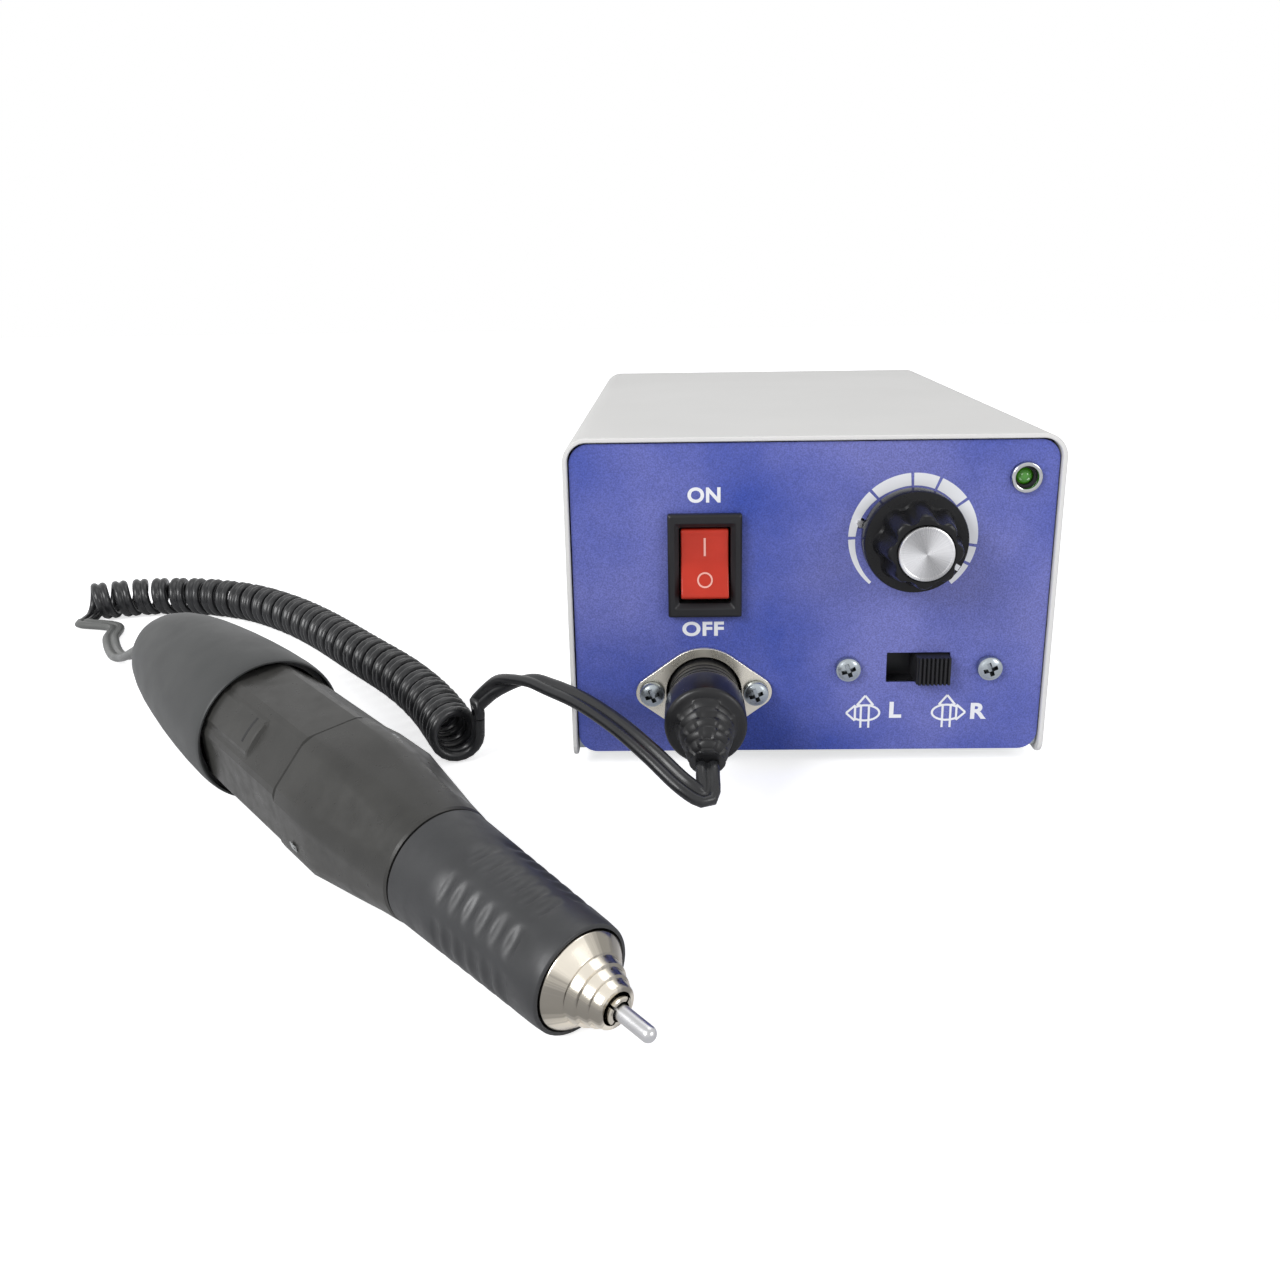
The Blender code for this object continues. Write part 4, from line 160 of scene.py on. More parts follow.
def rear_place(x=0.0, z=0.0):
    """The same for the rear panel, where X runs the other way."""
    away = Matrix.Rotation(math.pi, 4, "Z") @ Matrix.Rotation(math.pi / 2, 4, "X")
    return Matrix.Translation(Vector((-x, REAR_Y, z)) * MM) @ away @ METRES


def handpiece_place():
    """From the handpiece's frame, Z forward and X up, to the scene."""
    rise = BELLY_RADIUS * math.cos(TILT) + BELLY * math.sin(TILT)
    level = math.cos(TILT)
    forward = Vector((level * math.cos(HEADING), level * math.sin(HEADING), -math.sin(TILT)))
    side = forward.cross(Vector((0, 0, 1))).normalized()
    up = side.cross(forward)
    origin = LIP + Vector((0, 0, (TABLE_Z + rise) * MM))
    return Matrix.Translation(origin) @ Matrix((up, side, forward)).transposed().to_4x4() @ METRES


HAND = handpiece_place()


def link(made):
    """Put an object into the scene."""
    bpy.context.scene.collection.objects.link(made)
    return made


def place_camera():
    """The photograph's camera."""
    yaw, pitch, roll = CAMERA_YAW, CAMERA_PITCH, CAMERA_ROLL
    level = math.cos(pitch)
    ahead = Vector((math.sin(yaw) * level, math.cos(yaw) * level, -math.sin(pitch)))
    right = Vector((math.cos(yaw), -math.sin(yaw), 0))
    up = right.cross(ahead)
    right, up = (math.cos(roll) * right + math.sin(roll) * up, math.cos(roll) * up - math.sin(roll) * right)
    data = bpy.data.cameras.new("camera")
    data.lens = CAMERA_LENS
    data.sensor_width = SENSOR
    data.shift_x, data.shift_y = CAMERA_SHIFT
    data.clip_start = CAMERA_NEAR
    camera = link(bpy.data.objects.new("camera", data))
    camera.matrix_world = Matrix.Translation(CAMERA_PLACE) @ Matrix((right, up, -ahead)).transposed().to_4x4()
    bpy.context.scene.camera = camera


def fill(tree, node, inputs):
    """Set a node's inputs: another node's output is linked, anything else is a value."""
    for key, value in inputs.items():
        if isinstance(value, bpy.types.NodeSocket):
            tree.links.new(value, node.inputs[key])
        else:
            node.inputs[key].default_value = value


def add_node(tree, kind, inputs=None, **settings):
    """A new shader node with its settings and inputs."""
    made = tree.nodes.new("ShaderNode" + kind)
    for key, value in settings.items():
        setattr(made, key, value)
    fill(tree, made, inputs or {})
    return made


def maths(tree, operation, a, b=0.0):
    """The result of a Math node."""
    return add_node(tree, "Math", {0: a, 1: b}, operation=operation).outputs[0]


def light_scene():
    """A studio: soft lamps, an even sky for the shade and white behind the object."""
    scene = bpy.context.scene
    scene.view_settings.view_transform = "Standard"
    world = bpy.data.worlds.new("studio")
    world.use_nodes = True
    scene.world = world
    tree = world.node_tree
    tree.nodes.clear()
    ray = add_node(tree, "LightPath").outputs
    sky = add_node(tree, "Background", {"Color": SKY_COLOUR, "Strength": SKY_STRENGTH})
    seen = add_node(tree, "Background", {"Color": WHITE, "Strength": 1.0})
    direct = maths(tree, "MAXIMUM", ray["Is Camera Ray"], ray["Is Glossy Ray"])
    direct = maths(tree, "MAXIMUM", direct, ray["Is Transmission Ray"])
    mix = add_node(tree, "MixShader", {"Fac": direct, 1: sky.outputs[0], 2: seen.outputs[0]})
    add_node(tree, "OutputWorld", {"Surface": mix.outputs[0]})
    for name, place, target, size, power in LAMPS:
        data = bpy.data.lights.new(name, "AREA")
        data.energy = power
        data.size = size
        lamp = link(bpy.data.objects.new(name, data))
        lamp.location = place
        lamp.rotation_euler = (Vector(target) - Vector(place)).to_track_quat("-Z", "Y").to_euler()


def lay_floor():
    """A pale floor that is white to the eye except in the object's shadow."""
    mesh = bpy.data.meshes.new("floor")
    mesh.from_pydata([(x * FLOOR_HALF, y * FLOOR_HALF, TABLE_Z * MM) for x, y in CORNERS], [], [(0, 1, 2, 3)])
    made = bpy.data.materials.new("floor")
    made.use_nodes = True
    tree = made.node_tree
    far = add_node(tree, "VectorMath", {0: add_node(tree, "TexCoord").outputs["Object"]}, operation="LENGTH")
    glow = add_node(tree, "MapRange", {"Value": far.outputs["Value"], **FLOOR_GLOW})
    ray = add_node(tree, "LightPath").outputs["Is Camera Ray"]
    fill(tree, tree.nodes["Principled BSDF"], {
        "Base Color": FLOOR_COLOUR, "Roughness": 0.9, "Specular IOR Level": 0.1, "Emission Color": WHITE,
        "Emission Strength": maths(tree, "MULTIPLY", ray, glow.outputs[0])})
    mesh.materials.append(made)
    floor = link(bpy.data.objects.new("floor", mesh))


# Finishes: colour, roughness, metallic, specular level, strength and scale of the mottle, spread of the
# gloss, scale of the grain, and its height in millimetres
LOOKS = {
    "cover_paint": ((0.7, 0.695, 0.68), 0.52, 0, 0.12, 0.02, 14, 0.06, 420, 0.01),
    "zinc_plate": ((0.4, 0.44, 0.47), 0.3, 1, 0.5, 0.05, 260, 0.08, 900, 0.005),
    "blue_overlay": ((0.036, 0.066, 0.345), 0.42, 0, 0.35, 0.06, 20, 0.07, 2300, 0.12),
    "print_white": ((0.8, 0.81, 0.84), 0.45, 0, 0.5, 0.05, 90, 0.08, 900, 0.01),
    "black_moulding": ((0.016, 0.016, 0.018), 0.38, 0, 0.25, 0.15, 90, 0.08, 900, 0.005),
    "knob_black": ((0.01, 0.01, 0.011), 0.26, 0, 0.2, 0.15, 90, 0.06, 900, 0.008),
    "black_rubber": ((0.03, 0.03, 0.032), 0.62, 0, 0.5, 0.12, 90, 0.08, 900, 0.03),
    "plug_rubber": ((0.011, 0.011, 0.012), 0.34, 0, 0.35, 0.15, 90, 0.08, 900, 0.02),
    "red_rocker": ((0.5, 0.035, 0.018), 0.22, 0, 0.25, 0.06, 160, 0.05, 900, 0.006),
    "rocker_print": ((0.8, 0.42, 0.36), 0.35, 0, 0.5, 0.04, 90, 0.08, 900, 0.004),
    "recess_shade": ((0.05, 0.055, 0.06), 0.4, 1, 0.5, 0.05, 90, 0.08, 900, 0.02),
    "chrome": ((0.5, 0.51, 0.52), 0.1, 1, 0.5, 0.03, 90, 0.04, 900, 0.003),
    "nickel": ((0.56, 0.52, 0.45), 0.2, 1, 0.5, 0.05, 90, 0.06, 900, 0.005),
    "nose_nickel": ((0.56, 0.52, 0.45), 0.18, 1, 0.5, 0.05, 90, 0.06, 900, 0.005),
    "flange_nickel": ((0.76, 0.72, 0.62), 0.28, 0.85, 0.5, 0.05, 90, 0.08, 900, 0.005),
    "steel": ((0.56, 0.56, 0.57), 0.28, 1, 0.5, 0.08, 90, 0.08, 900, 0.006),
    "turned_aluminium": ((0.6, 0.6, 0.61), 0.3, 0.9, 0.5, 0.04, 90, 0.08, 900, 0.004),
    "copper_winding": ((0.62, 0.26, 0.1), 0.38, 0.9, 0.5, 0.06, 90, 0.08, 2600, 0.05),
    "circuit_board": ((0.03, 0.18, 0.07), 0.42, 0, 0.5, 0.25, 220, 0.08, 900, 0.02),
    "rear_cap_grey": ((0.05, 0.052, 0.052), 0.46, 0, 0.3, 0.05, 50, 0.05, 2600, 0.012),
    "handpiece_grey": ((0.04, 0.0395, 0.037), 0.34, 0, 0.3, 0.16, 130, 0.09, 2400, 0.012),
    "grip_black": ((0.03, 0.031, 0.033), 0.44, 0.1, 0.5, 0.14, 130, 0.08, 2400, 0.014),
    # Painted shade: the black of the patch that stands for the shaded inside of the tab's slot
    "slot_shade_black": ((0.008, 0.008, 0.009), 0.6, 0, 0.5, 0.1, 90, 0.08, 900, 0.004),
    "mark_pale": ((0.33, 0.34, 0.34), 0.5, 0, 0.5, 0.1, 90, 0.08, 900, 0.004),
    "cord_black": ((0.014, 0.0145, 0.016), 0.3, 0, 0.45, 0.12, 90, 0.08, 900, 0.01),
    "lead_grey": ((0.105, 0.108, 0.104), 0.36, 0, 0.5, 0.08, 90, 0.07, 900, 0.01),
    "green_light": ((0.03, 0.17, 0.01), 0.18, 0, 0.5, 0.12, 400, 0.05, 900, 0.02),
}
# What some finishes have besides: a light end of the mottle that is a painted sheen, fine specks of painted
# sparkle and shade with their scale and depth, rays of painted reflection, and inputs of the shader
# Painted sheen: the blue overlay's lilac light end, broad patches that stand for reflections on the film
PAINTED_SHEEN_ENDS = {"blue_overlay": (0.150, 0.165, 0.455)}
# Painted sparkle and shade: fine specks on the blue overlay that stand for light on its pebbled grain
PAINTED_SPARKLE_SPECKS = {"blue_overlay": (3600.0, 0.22)}
# Painted reflection: bow-tie rays of highlight and shade on the knob cap, and light and dark bands round the nose
PAINTED_RAYS = {"nose_nickel": (HAND, 3.0, 0.4, 0.6, 0.5, 1.2),
        "turned_aluminium": (front_place(*KNOB), 2.0, 0.6, 0.3, 0.45, 9.0)}
SHADER = {"red_rocker": {"Subsurface Weight": 0.15, "Subsurface Radius": (0.002, 0.0006, 0.0004)},
          "green_light": {"Emission Color": (0.12, 0.55, 0.02, 1.0), "Emission Strength": 0.10,
                          "Coat Weight": 0.6}}
CELLS = ("blue_overlay",)
FINISHES = {}


def vary(tree, value, low, high, middle, swing):
    """Bring a noise from its range low to high to a swing round a middle."""
    spread = {"From Min": low, "From Max": high, "To Min": middle - swing, "To Max": middle + swing}
    return add_node(tree, "MapRange", {"Value": value, **spread}).outputs[0]


def painted_sparkle(tree, where, scale, depth):
    """Fine light and dark specks of painted sparkle and shade for a grained sheet, as a factor."""
    specks = add_node(tree, "TexNoise", {"Vector": where, "Scale": scale, "Detail": 1.0})
    return vary(tree, specks.outputs["Fac"], 0.3, 0.7, 1.0, depth)


def painted_reflection_rays(tree, where, place, folds, phase, swing, depth, fine):
    """Painted reflection: broad and fine rays of highlight and shade round a turned face's axis, as a factor."""
    middle, turn, _ = place.decompose()
    local = add_node(tree, "Mapping", {"Vector": where, "Location": middle, "Rotation": turn.to_euler()},
                     vector_type="TEXTURE")
    parts = add_node(tree, "SeparateXYZ", {0: local.outputs[0]}).outputs
    around = maths(tree, "ARCTAN2", parts["Y"], parts["X"])
    broad = maths(tree, "SINE", maths(tree, "ADD", maths(tree, "MULTIPLY", around, folds), phase))
    streaks = add_node(tree, "TexNoise", {"W": maths(tree, "MULTIPLY", around, fine), "Detail": 4.0},
                       noise_dimensions="1D")
    level = maths(tree, "ADD", maths(tree, "MULTIPLY", broad, swing), streaks.outputs["Fac"])
    return vary(tree, level, 0.15, 0.85, 1.0, depth)


def finish(name):
    """A finish's material: slow colour changes, painted light for some, uneven gloss and a fine bump."""
    if name in FINISHES:
        return FINISHES[name]
    colour, roughness, metallic, specular, mottle, patches, spread, grain, depth = LOOKS[name]
    made = FINISHES[name] = bpy.data.materials.new(name + "_finish")
    made.use_nodes = True
    tree = made.node_tree
    where = add_node(tree, "TexCoord").outputs["Object"]
    slow = add_node(tree, "TexNoise", {"Vector": where, "Scale": patches, "Detail": 5.0})
    tint = add_node(tree, "ValToRGB", {"Fac": slow.outputs["Fac"]})
    low, high = tint.color_ramp.elements
    # A listed light end is a painted sheen; otherwise both ends are the finish's own tone, darker and lighter
    if name in PAINTED_SHEEN_ENDS:
        low.position, high.position = 0.38, 0.62
        dark, light = colour, PAINTED_SHEEN_ENDS[name]
    else:
        low.position, high.position = 0.3, 0.7
        dark, light = ([c * (1 + side * mottle) for c in colour] for side in (-1, 1))
    low.color, high.color = (*dark, 1.0), (*light, 1.0)
    shown = tint.outputs["Color"]
    # Painted light for the finishes that list it: sparkle specks and reflection rays scale the colour
    for make, table in ((painted_sparkle, PAINTED_SPARKLE_SPECKS), (painted_reflection_rays, PAINTED_RAYS)):
        if name in table:
            share = {0: shown, "Scale": make(tree, where, *table[name])}
            shown = add_node(tree, "VectorMath", share, operation="SCALE").outputs["Vector"]

    worn = add_node(tree, "TexNoise", {"Vector": where, "Scale": patches * 2.7, "Detail": 6.0})
    if name in CELLS:
        fine = add_node(tree, "TexVoronoi", {"Vector": where, "Scale": grain}, feature="SMOOTH_F1")
        height = fine.outputs["Distance"]
    else:
        fine = add_node(tree, "TexNoise", {"Vector": where, "Scale": grain, "Detail": 3.0})
        height = fine.outputs["Fac"]
    bump = add_node(tree, "Bump", {"Strength": 0.6, "Distance": depth * MM, "Height": height})
    fill(tree, tree.nodes["Principled BSDF"], {
        "Base Color": shown, "Metallic": metallic, "Specular IOR Level": specular,
        "Roughness": vary(tree, worn.outputs["Fac"], 0.3, 0.7, roughness, spread),
        "Coat Roughness": 0.15, "Normal": bump.outputs[0], **SHADER.get(name, {})})
    return made


def shade(mesh, angle):
    """Smooth shading with edges that stay sharp above an angle."""
    mesh.shade_smooth()
    mesh.set_sharp_from_angle(angle=math.radians(angle))


def to_mesh(bm, name, place):
    """Place a bmesh and turn it into a mesh."""
    bmesh.ops.transform(bm, matrix=place, verts=bm.verts)
    bmesh.ops.recalc_face_normals(bm, faces=bm.faces)
    mesh = bpy.data.meshes.new(name)
    bm.to_mesh(mesh)
    bm.free()
    return mesh


def piece(bm, name, look, node=None, body=ROOT, place=METRES, smooth=35):
    """Turn a bmesh into a piece of the object, on its body, in place of a CAD node."""
    bmesh.ops.remove_doubles(bm, verts=bm.verts, dist=1e-5)
    mesh = to_mesh(bm, name, place)
    shade(mesh, smooth)
    mesh.materials.append(finish(look))
    made = link(bpy.data.objects.new(name, mesh))
    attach(made, body)
    if node:
        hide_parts(node)
    return made


def soften(made, width, segments=2, angle=30):
    """Round a piece's hard edges."""
    bevel = made.modifiers.new("edges", "BEVEL")
    bevel.width = width * MM
    bevel.segments = segments
    bevel.limit_method = "ANGLE"
    bevel.angle_limit = math.radians(angle)
    bevel.harden_normals = True


def applied(made):
    """An object's mesh with its modifiers, or its text, applied."""
    bpy.context.view_layer.update()
    graph = bpy.context.evaluated_depsgraph_get()
    return bpy.data.meshes.new_from_object(made.evaluated_get(graph))


def cut_out(made, bm, place=METRES, operation="DIFFERENCE"):
    """Cut a bmesh out of a piece, or join it, and apply the result."""
    tool = link(bpy.data.objects.new("tool", to_mesh(bm, "tool", place)))
    change = made.modifiers.new("cut", "BOOLEAN")
    change.operation = operation
    change.object = tool
    done = applied(made)
    made.modifiers.remove(change)
    made.data = done
    bpy.data.objects.remove(tool)
    shade(done, 35)


def arc(cx, cy, radius, start, end, steps):
    """Points on an arc, both ends in; angles in degrees."""
    turn = [math.radians(start + (end - start) * i / steps) for i in range(steps + 1)]
    return [(cx + radius * math.cos(t), cy + radius * math.sin(t)) for t in turn]


def circle(radius, sides=24, x=0.0, y=0.0):
    """A closed circle as points."""
    return arc(x, y, radius, 0, 360, sides)[:-1]


def rectangle(width, height, radius=0.0, x=0.0, y=0.0, steps=3):
    """A rectangle with round corners, counter-clockwise."""
    w, h = width / 2 - radius, height / 2 - radius
    corners = ((w, h, 0), (-w, h, 90), (-w, -h, 180), (w, -h, 270))
    if radius <= 0:
        return [(x + cx, y + cy) for cx, cy, _ in corners]
    return [p for cx, cy, a in corners for p in arc(x + cx, y + cy, radius, a, a + 90, steps)]


def full_turn(count, start=0.0):
    """Even angles all round."""
    return [start + 2 * math.pi * i / count for i in range(count)]


def ring(radius, z, turns):
    """Points round the axis at given angles; the radius is a number or a function of the angle."""
    sizes = [radius(a) if callable(radius) else radius for a in turns]
    return [(r * math.cos(a), r * math.sin(a), z) for r, a in zip(sizes, turns)]


def skin(loops, closed=False, bm=None):
    """Join loops of points into a solid: capped at its ends, or closed on itself as a tube wall."""
    bm = bm or bmesh.new()
    rows = [[bm.verts.new(Vector(p)) for p in loop] for loop in loops]
    for low, high in zip(rows, rows[1:] + rows[:1] * closed):
        for i in range(len(low)):
            j = (i + 1) % len(low)
            bm.faces.new((low[i], low[j], high[j], high[i]))
    if not closed:
        bm.faces.new(list(reversed(rows[0])))
        bm.faces.new(rows[-1])
    return bm


def prism(outline, low, high, turn=None, bm=None):
    """An outline extruded from low to high along Z, then turned."""
    turn = turn or Matrix()
    return skin([[turn @ Vector((x, y, z)) for x, y in outline] for z in (low, high)], False, bm)


def turned(profile, sides=64):
    """A profile of (radius, height) turned about Z; one that starts on the axis is a solid."""
    on_axis = profile[0][0] == 0
    rows = profile[1:-1] if on_axis else profile
    return skin([[(x, y, z) for x, y in circle(r, sides)] for r, z in rows], not on_axis)


def make_cover():
    """The painted cover: one bent sheet with rounded edges, toes and screw holes."""
    w, top, r, t = COVER_HALF, COVER_TOP, COVER_BEND, COVER_SHEET
    outline = [(w, -COVER_SKIRT)] + arc(w - r, top - r, r, 0, 90, 14) + arc(-w + r, top - r, r, 90, 180, 14)
    outline += [(-w, -COVER_SKIRT), (-w + t, -COVER_SKIRT)] + arc(-w + r, top - r, r - t, 180, 90, 14)
    outline += arc(w - r, top - r, r - t, 90, 0, 14) + [(w - t, -COVER_SKIRT)]
    sheet = prism(outline, -COVER_HALF_DEPTH, COVER_HALF_DEPTH, ALONG_Y)
    cover = piece(sheet, "painted_cover", "cover_paint", "cover")
    waste = bmesh.new()
    for end in (-1, 1):
        y, z, start = end * COVER_HALF_DEPTH, -COVER_SKIRT, 180 if end < 0 else 270
        rim = arc(y - end * COVER_TOE, z + COVER_TOE, COVER_TOE, start, start + 90, 8)
        outside = [(y + end * t, z + COVER_TOE), (y + end * t, z - t), (y - end * COVER_TOE, z - t)]
        prism(rim + outside[::end], -w - t, w + t, ALONG_X, waste)
        turn = Matrix.Translation((0, end * COVER_SCREW_Y, COVER_SCREW_Z))
        turn = turn @ Matrix.Rotation(math.pi / 2, 4, "Y")
        for side in (-1, 1):
            wall = side * (w - t / 2)
            prism(circle(SHANK_HOLE), wall - t, wall + t, turn, waste)
    cut_out(cover, waste)
    soften(cover, 0.32, 3)


def make_overlay():
    """The printed blue sheet with its openings."""
    height = BOX_HEIGHT - OVERLAY_REVEAL
    outline = rectangle(2 * BOX_HALF_WIDTH, height, PANEL_CORNER, 0, OVERLAY_REVEAL + height / 2, 10)
    sheet = piece(prism(outline, -OVERLAY_THICKNESS, 0), "printed_overlay", "blue_overlay",
                  "front_overlay", place=front_place())
    openings = [rectangle(13.6, 19.8, 0, *SWITCH), circle(4.5, 48, *KNOB), circle(1.1, 24, *POT_PIN),
                circle(3.1, 32, *LAMP), rectangle(*SLOT_SIZE, 0.25, *SLOT), circle(8.85, 64, *SOCKET)]
    for side in (-1, 1):
        openings.append(circle(SHANK_HOLE, 24, SLOT[0] + side * SLIDE_SCREW_PITCH / 2, SLOT[1]))
        openings.append(circle(SHANK_HOLE, 24, SOCKET[0] + side * SOCKET_SCREW_PITCH / 2, SOCKET[1]))
    waste = bmesh.new()
    for opening in openings:
        prism(opening, -OVERLAY_THICKNESS - TOUCH, TOUCH, None, waste)
    cut_out(sheet, waste, front_place())
    soften(sheet, 0.08, 2, 50)


def print_shape(name, outlines):
    """Flat white print on the blue sheet, each stroke a hair over the one before."""
    bm = bmesh.new()
    for i, outline in enumerate(outlines):
        low = PRINT_LIFT + i * PRINT_STEP
        prism(outline, low, low + PRINT_THICKNESS, None, bm)
    piece(bm, name, "print_white", place=front_place())


def print_word(name, text, x, z, height, width):
    """A generic word or letter in plain capitals, stretched to its size around x and z."""
    data = bpy.data.curves.new(name, "FONT")
    data.body = text
    data.align_x = "CENTER"
    data.align_y = "CENTER"
    data.size = height / 0.70
    data.offset = height * 0.05
    data.extrude = PRINT_THICKNESS / 2
    data.space_character = 1.08
    written = link(bpy.data.objects.new(name + "_text", data))
    mesh = applied(written)
    bpy.data.objects.remove(written)
    xs = [v.co.x for v in mesh.vertices]
    ys = [v.co.y for v in mesh.vertices]
    middle = Vector(((min(xs) + max(xs)) / 2, (min(ys) + max(ys)) / 2, -PRINT_LIFT - PRINT_THICKNESS / 2))
    size = Matrix.Diagonal((width / (max(xs) - min(xs)), height / (max(ys) - min(ys)), 1.0, 1.0))
    mesh.transform(front_place(x, z) @ size @ Matrix.Translation(-middle))
    mesh.materials.clear()
    mesh.materials.append(finish("print_white"))
    word = link(bpy.data.objects.new(name, mesh))
    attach(word, ROOT)


def make_print():
    """The white print: speed scale, words, letters and turning arrows."""
    cx, cz = SCALE_MIDDLE
    outlines = []
    for before, after in zip(SCALE_BORDERS, SCALE_BORDERS[1:]):
        start, end = before - SCALE_GAP, after + SCALE_GAP
        inner = []
        for k in range(13):
            a = start + (end - start) * k / 12
            share = min(1.0, (SCALE_BORDERS[0] - a) / (SCALE_BORDERS[0] - SCALE_FULL))
            r = SCALE_OUTER - (SCALE_THIN + (SCALE_THICK - SCALE_THIN) * share)
            inner.append((cx + r * math.cos(math.radians(a)), cz + r * math.sin(math.radians(a))))
        outlines.append(arc(cx, cz, SCALE_OUTER, end, start, 12) + inner)
    print_shape("print_scale", outlines)
    print_word("print_on", "ON", -22.0, 56.6, 3.2, 6.7)
    print_word("print_off", "OFF", -22.3, 28.0, 3.2, 8.7)
    print_word("print_left", "L", 18.7, 9.3, 3.7, 2.6)
    print_word("print_right", "R", 36.4, 8.9, 3.7, 3.4)
    for name, x, side in (("print_arrow_left", 12.2, -1), ("print_arrow_right", 29.6, 1)):
        make_turn_arrow(name, x, 8.9, side)


def stroke(points, width=0.46):
    """A line of even width through points, as an outline."""
    left, right = [], []
    for i, p in enumerate(points):
        a, b = Vector(points[max(i - 1, 0)]), Vector(points[min(i + 1, len(points) - 1)])
        way = (b - a).normalized()
        side = Vector((-way.y, way.x)) * width / 2
        left.append(tuple(Vector(p) + side))
        right.append(tuple(Vector(p) - side))
    return right + left[::-1]


def make_turn_arrow(name, x, z, side):
    """A generic sign: an upright arrow with a ring that turns round it to one side."""
    half, shaft, roof, brow, head = 0.85, 3.7, 3.7, 1.5, 1.75
    wide, tall, middle = 3.1, 1.75, z - 0.25
    brow, roof = z + brow, (x, z + roof)
    lines = [[(x + dx, z - shaft), (x + dx, brow)] for dx in (-half, half)]
    lines += [[(x - head, brow), roof], [roof, (x + head, brow)]]
    lines += [[(x + s * head, brow), (x + s * half, brow)] for s in (-1, 1)]
    turn = [math.radians(a) for a in range(-132, 133, 12)]
    around = [(x - side * wide * math.cos(a), middle + tall * math.sin(a)) for a in turn]
    tip, back, spread = (x + side * 4.0, middle), x + side * 2.1, 1.75
    high, low = (back, middle + spread), (back, middle - spread)
    lines += [around[::-side], [high, tip], [tip, low], [low, high]]
    print_shape(name, [stroke(line) for line in lines])


def screw(name, node, place):
    """A pan-head screw with a cross recess."""
    r, h, tilt = 2.65, 1.7, math.radians(28)
    profile = [(0, -6), (1.4, -6), (1.4, 0), (r, 0), (r, 0.45 * h), (0.96 * r, 0.62 * h)]
    for k in range(1, 8):
        a = math.radians(28 + 62 * k / 8)
        profile.append((0.96 * r * math.cos(a) / math.cos(tilt), h * (0.10 + 0.90 * math.sin(a))))
    made = piece(turned(profile + [(0, h)], 40), name, "zinc_plate", node, place=Matrix())
    wide, narrow = 1.75, 0.48
    loops = []
    for share, z in ((0.55, 0.2 * h), (1.0, 1.15 * h)):
        w, n = wide * share, narrow * (1 + share) / 2
        plus = []
        for k in range(4):
            spin = Matrix.Rotation(math.radians(90 * k + 20), 2)
            plus += [spin @ Vector(p) for p in ((n, n), (n, w), (-n, w))]
        loops.append([(p.x, p.y, z) for p in plus])
    cut_out(made, skin(loops), Matrix())
    made.data.materials.clear()
    for look in ("zinc_plate", "recess_shade"):
        made.data.materials.append(finish(look))
    for face in made.data.polygons:
        x, y, z = face.center
        if math.hypot(x, y) < wide and 0 < z < h and face.normal.z < 0.45 + 0.5 * (z < 0.3 * h):
            face.material_index = 1
    made.data.transform(place)


def make_screws():
    """The four cover screws and the four on the panel."""
    for i, (fx, fy) in enumerate(CORNERS, 1):
        seat = METRES @ Matrix.Translation((fx * (COVER_HALF + TOUCH), fy * COVER_SCREW_Y, COVER_SCREW_Z))
        place = seat @ Matrix.Rotation(fx * math.pi / 2, 4, "Y")
        screw("cover_screw_head_%d" % i, "cover_screw_%d" % i, place)
    for i, side in enumerate((-1, 1), 1):
        place = front_place(SLOT[0] + side * SLIDE_SCREW_PITCH / 2, SLOT[1])
        place = place @ Matrix.Translation((0, 0, TOUCH))
        screw("slide_screw_head_%d" % i, "direction_switch_screw_%d" % i, place)
        place = front_place(SOCKET[0] + side * SOCKET_SCREW_PITCH / 2, SOCKET[1])
        place = place @ Matrix.Translation((0, 0, 2 * TOUCH + FLANGE_SHEET))
        screw("socket_screw_head_%d" % i, "socket_screw_%d" % i, place)


def make_switch():
    """The rocker switch: bezel with a chamfered well, and the red rocker with its two marks."""
    w, h, proud = 15.2, 21.9, 2.0
    well_w, well_h = 10.6, 16.2
    edge, chamfer = 0.4, 1.0
    steps = [(13.0, 19.2, -15), (13.0, 19.2, TOUCH), (w, h, TOUCH), (w, h, proud - edge),
             (w - 2 * edge, h - 2 * edge, proud), (well_w + 2 * chamfer, well_h + 2 * chamfer, proud),
             (well_w, well_h, proud - chamfer), (well_w, well_h, proud - 9)]
    loops = [[(x, y, z) for x, y in rectangle(a, b, edge)] for a, b, z in steps]
    bezel = piece(skin(loops), "switch_bezel", "black_moulding", "switch_housing",
                  place=front_place(*SWITCH))
    soften(bezel, 0.15, 2, 35)

    half, middle, lean = 7.3, 2.0, math.radians(11)
    tip, wide, foot = middle + half * math.tan(lean), 4.9, -3.0

    def face_height(y):
        return middle + abs(y) * math.tan(lean) * (0.35 + 0.65 * abs(y) / half)

    nose = [(half, 0), (half, tip - 0.9), (half - 0.25, tip - 0.35), (half - 0.9, tip - 0.22)]
    dish = [(y, face_height(y)) for y in [half * (1 - k / 12) for k in range(2, 23)]]
    outline = nose + dish + [(-y, z) for y, z in reversed(nose)] + [(-half / 3, foot), (half / 3, foot)]
    place = front_place(*SWITCH) @ Matrix.Translation((0, 0, proud - 3.4)) @ Matrix.Rotation(-lean, 4, "X")
    rocker = piece(prism(outline, -wide, wide, ALONG_X), "red_rocker", "red_rocker", "rocker", "rocker",
                   place)
    soften(rocker, 0.30, 3, 35)

    marks, y = bmesh.new(), 3.4
    lift = face_height(y) + 0.12
    deep = lift - 0.08
    for k in range(6):
        prism(rectangle(0.42, 0.63, 0, 0, y + (k - 2.5) * 0.62), deep, lift, None, marks)
    loops = [[(px, py, z) for px, py in circle(r, 40, 0, -y)]
             for r, z in ((1.6, deep), (1.6, lift), (1.27, lift), (1.27, deep))]
    skin(loops, True, marks)
    for v in marks.verts:
        v.co.z += face_height(v.co.y) - face_height(y)
    piece(marks, "rocker_marks", "rocker_print", None, "rocker", place)


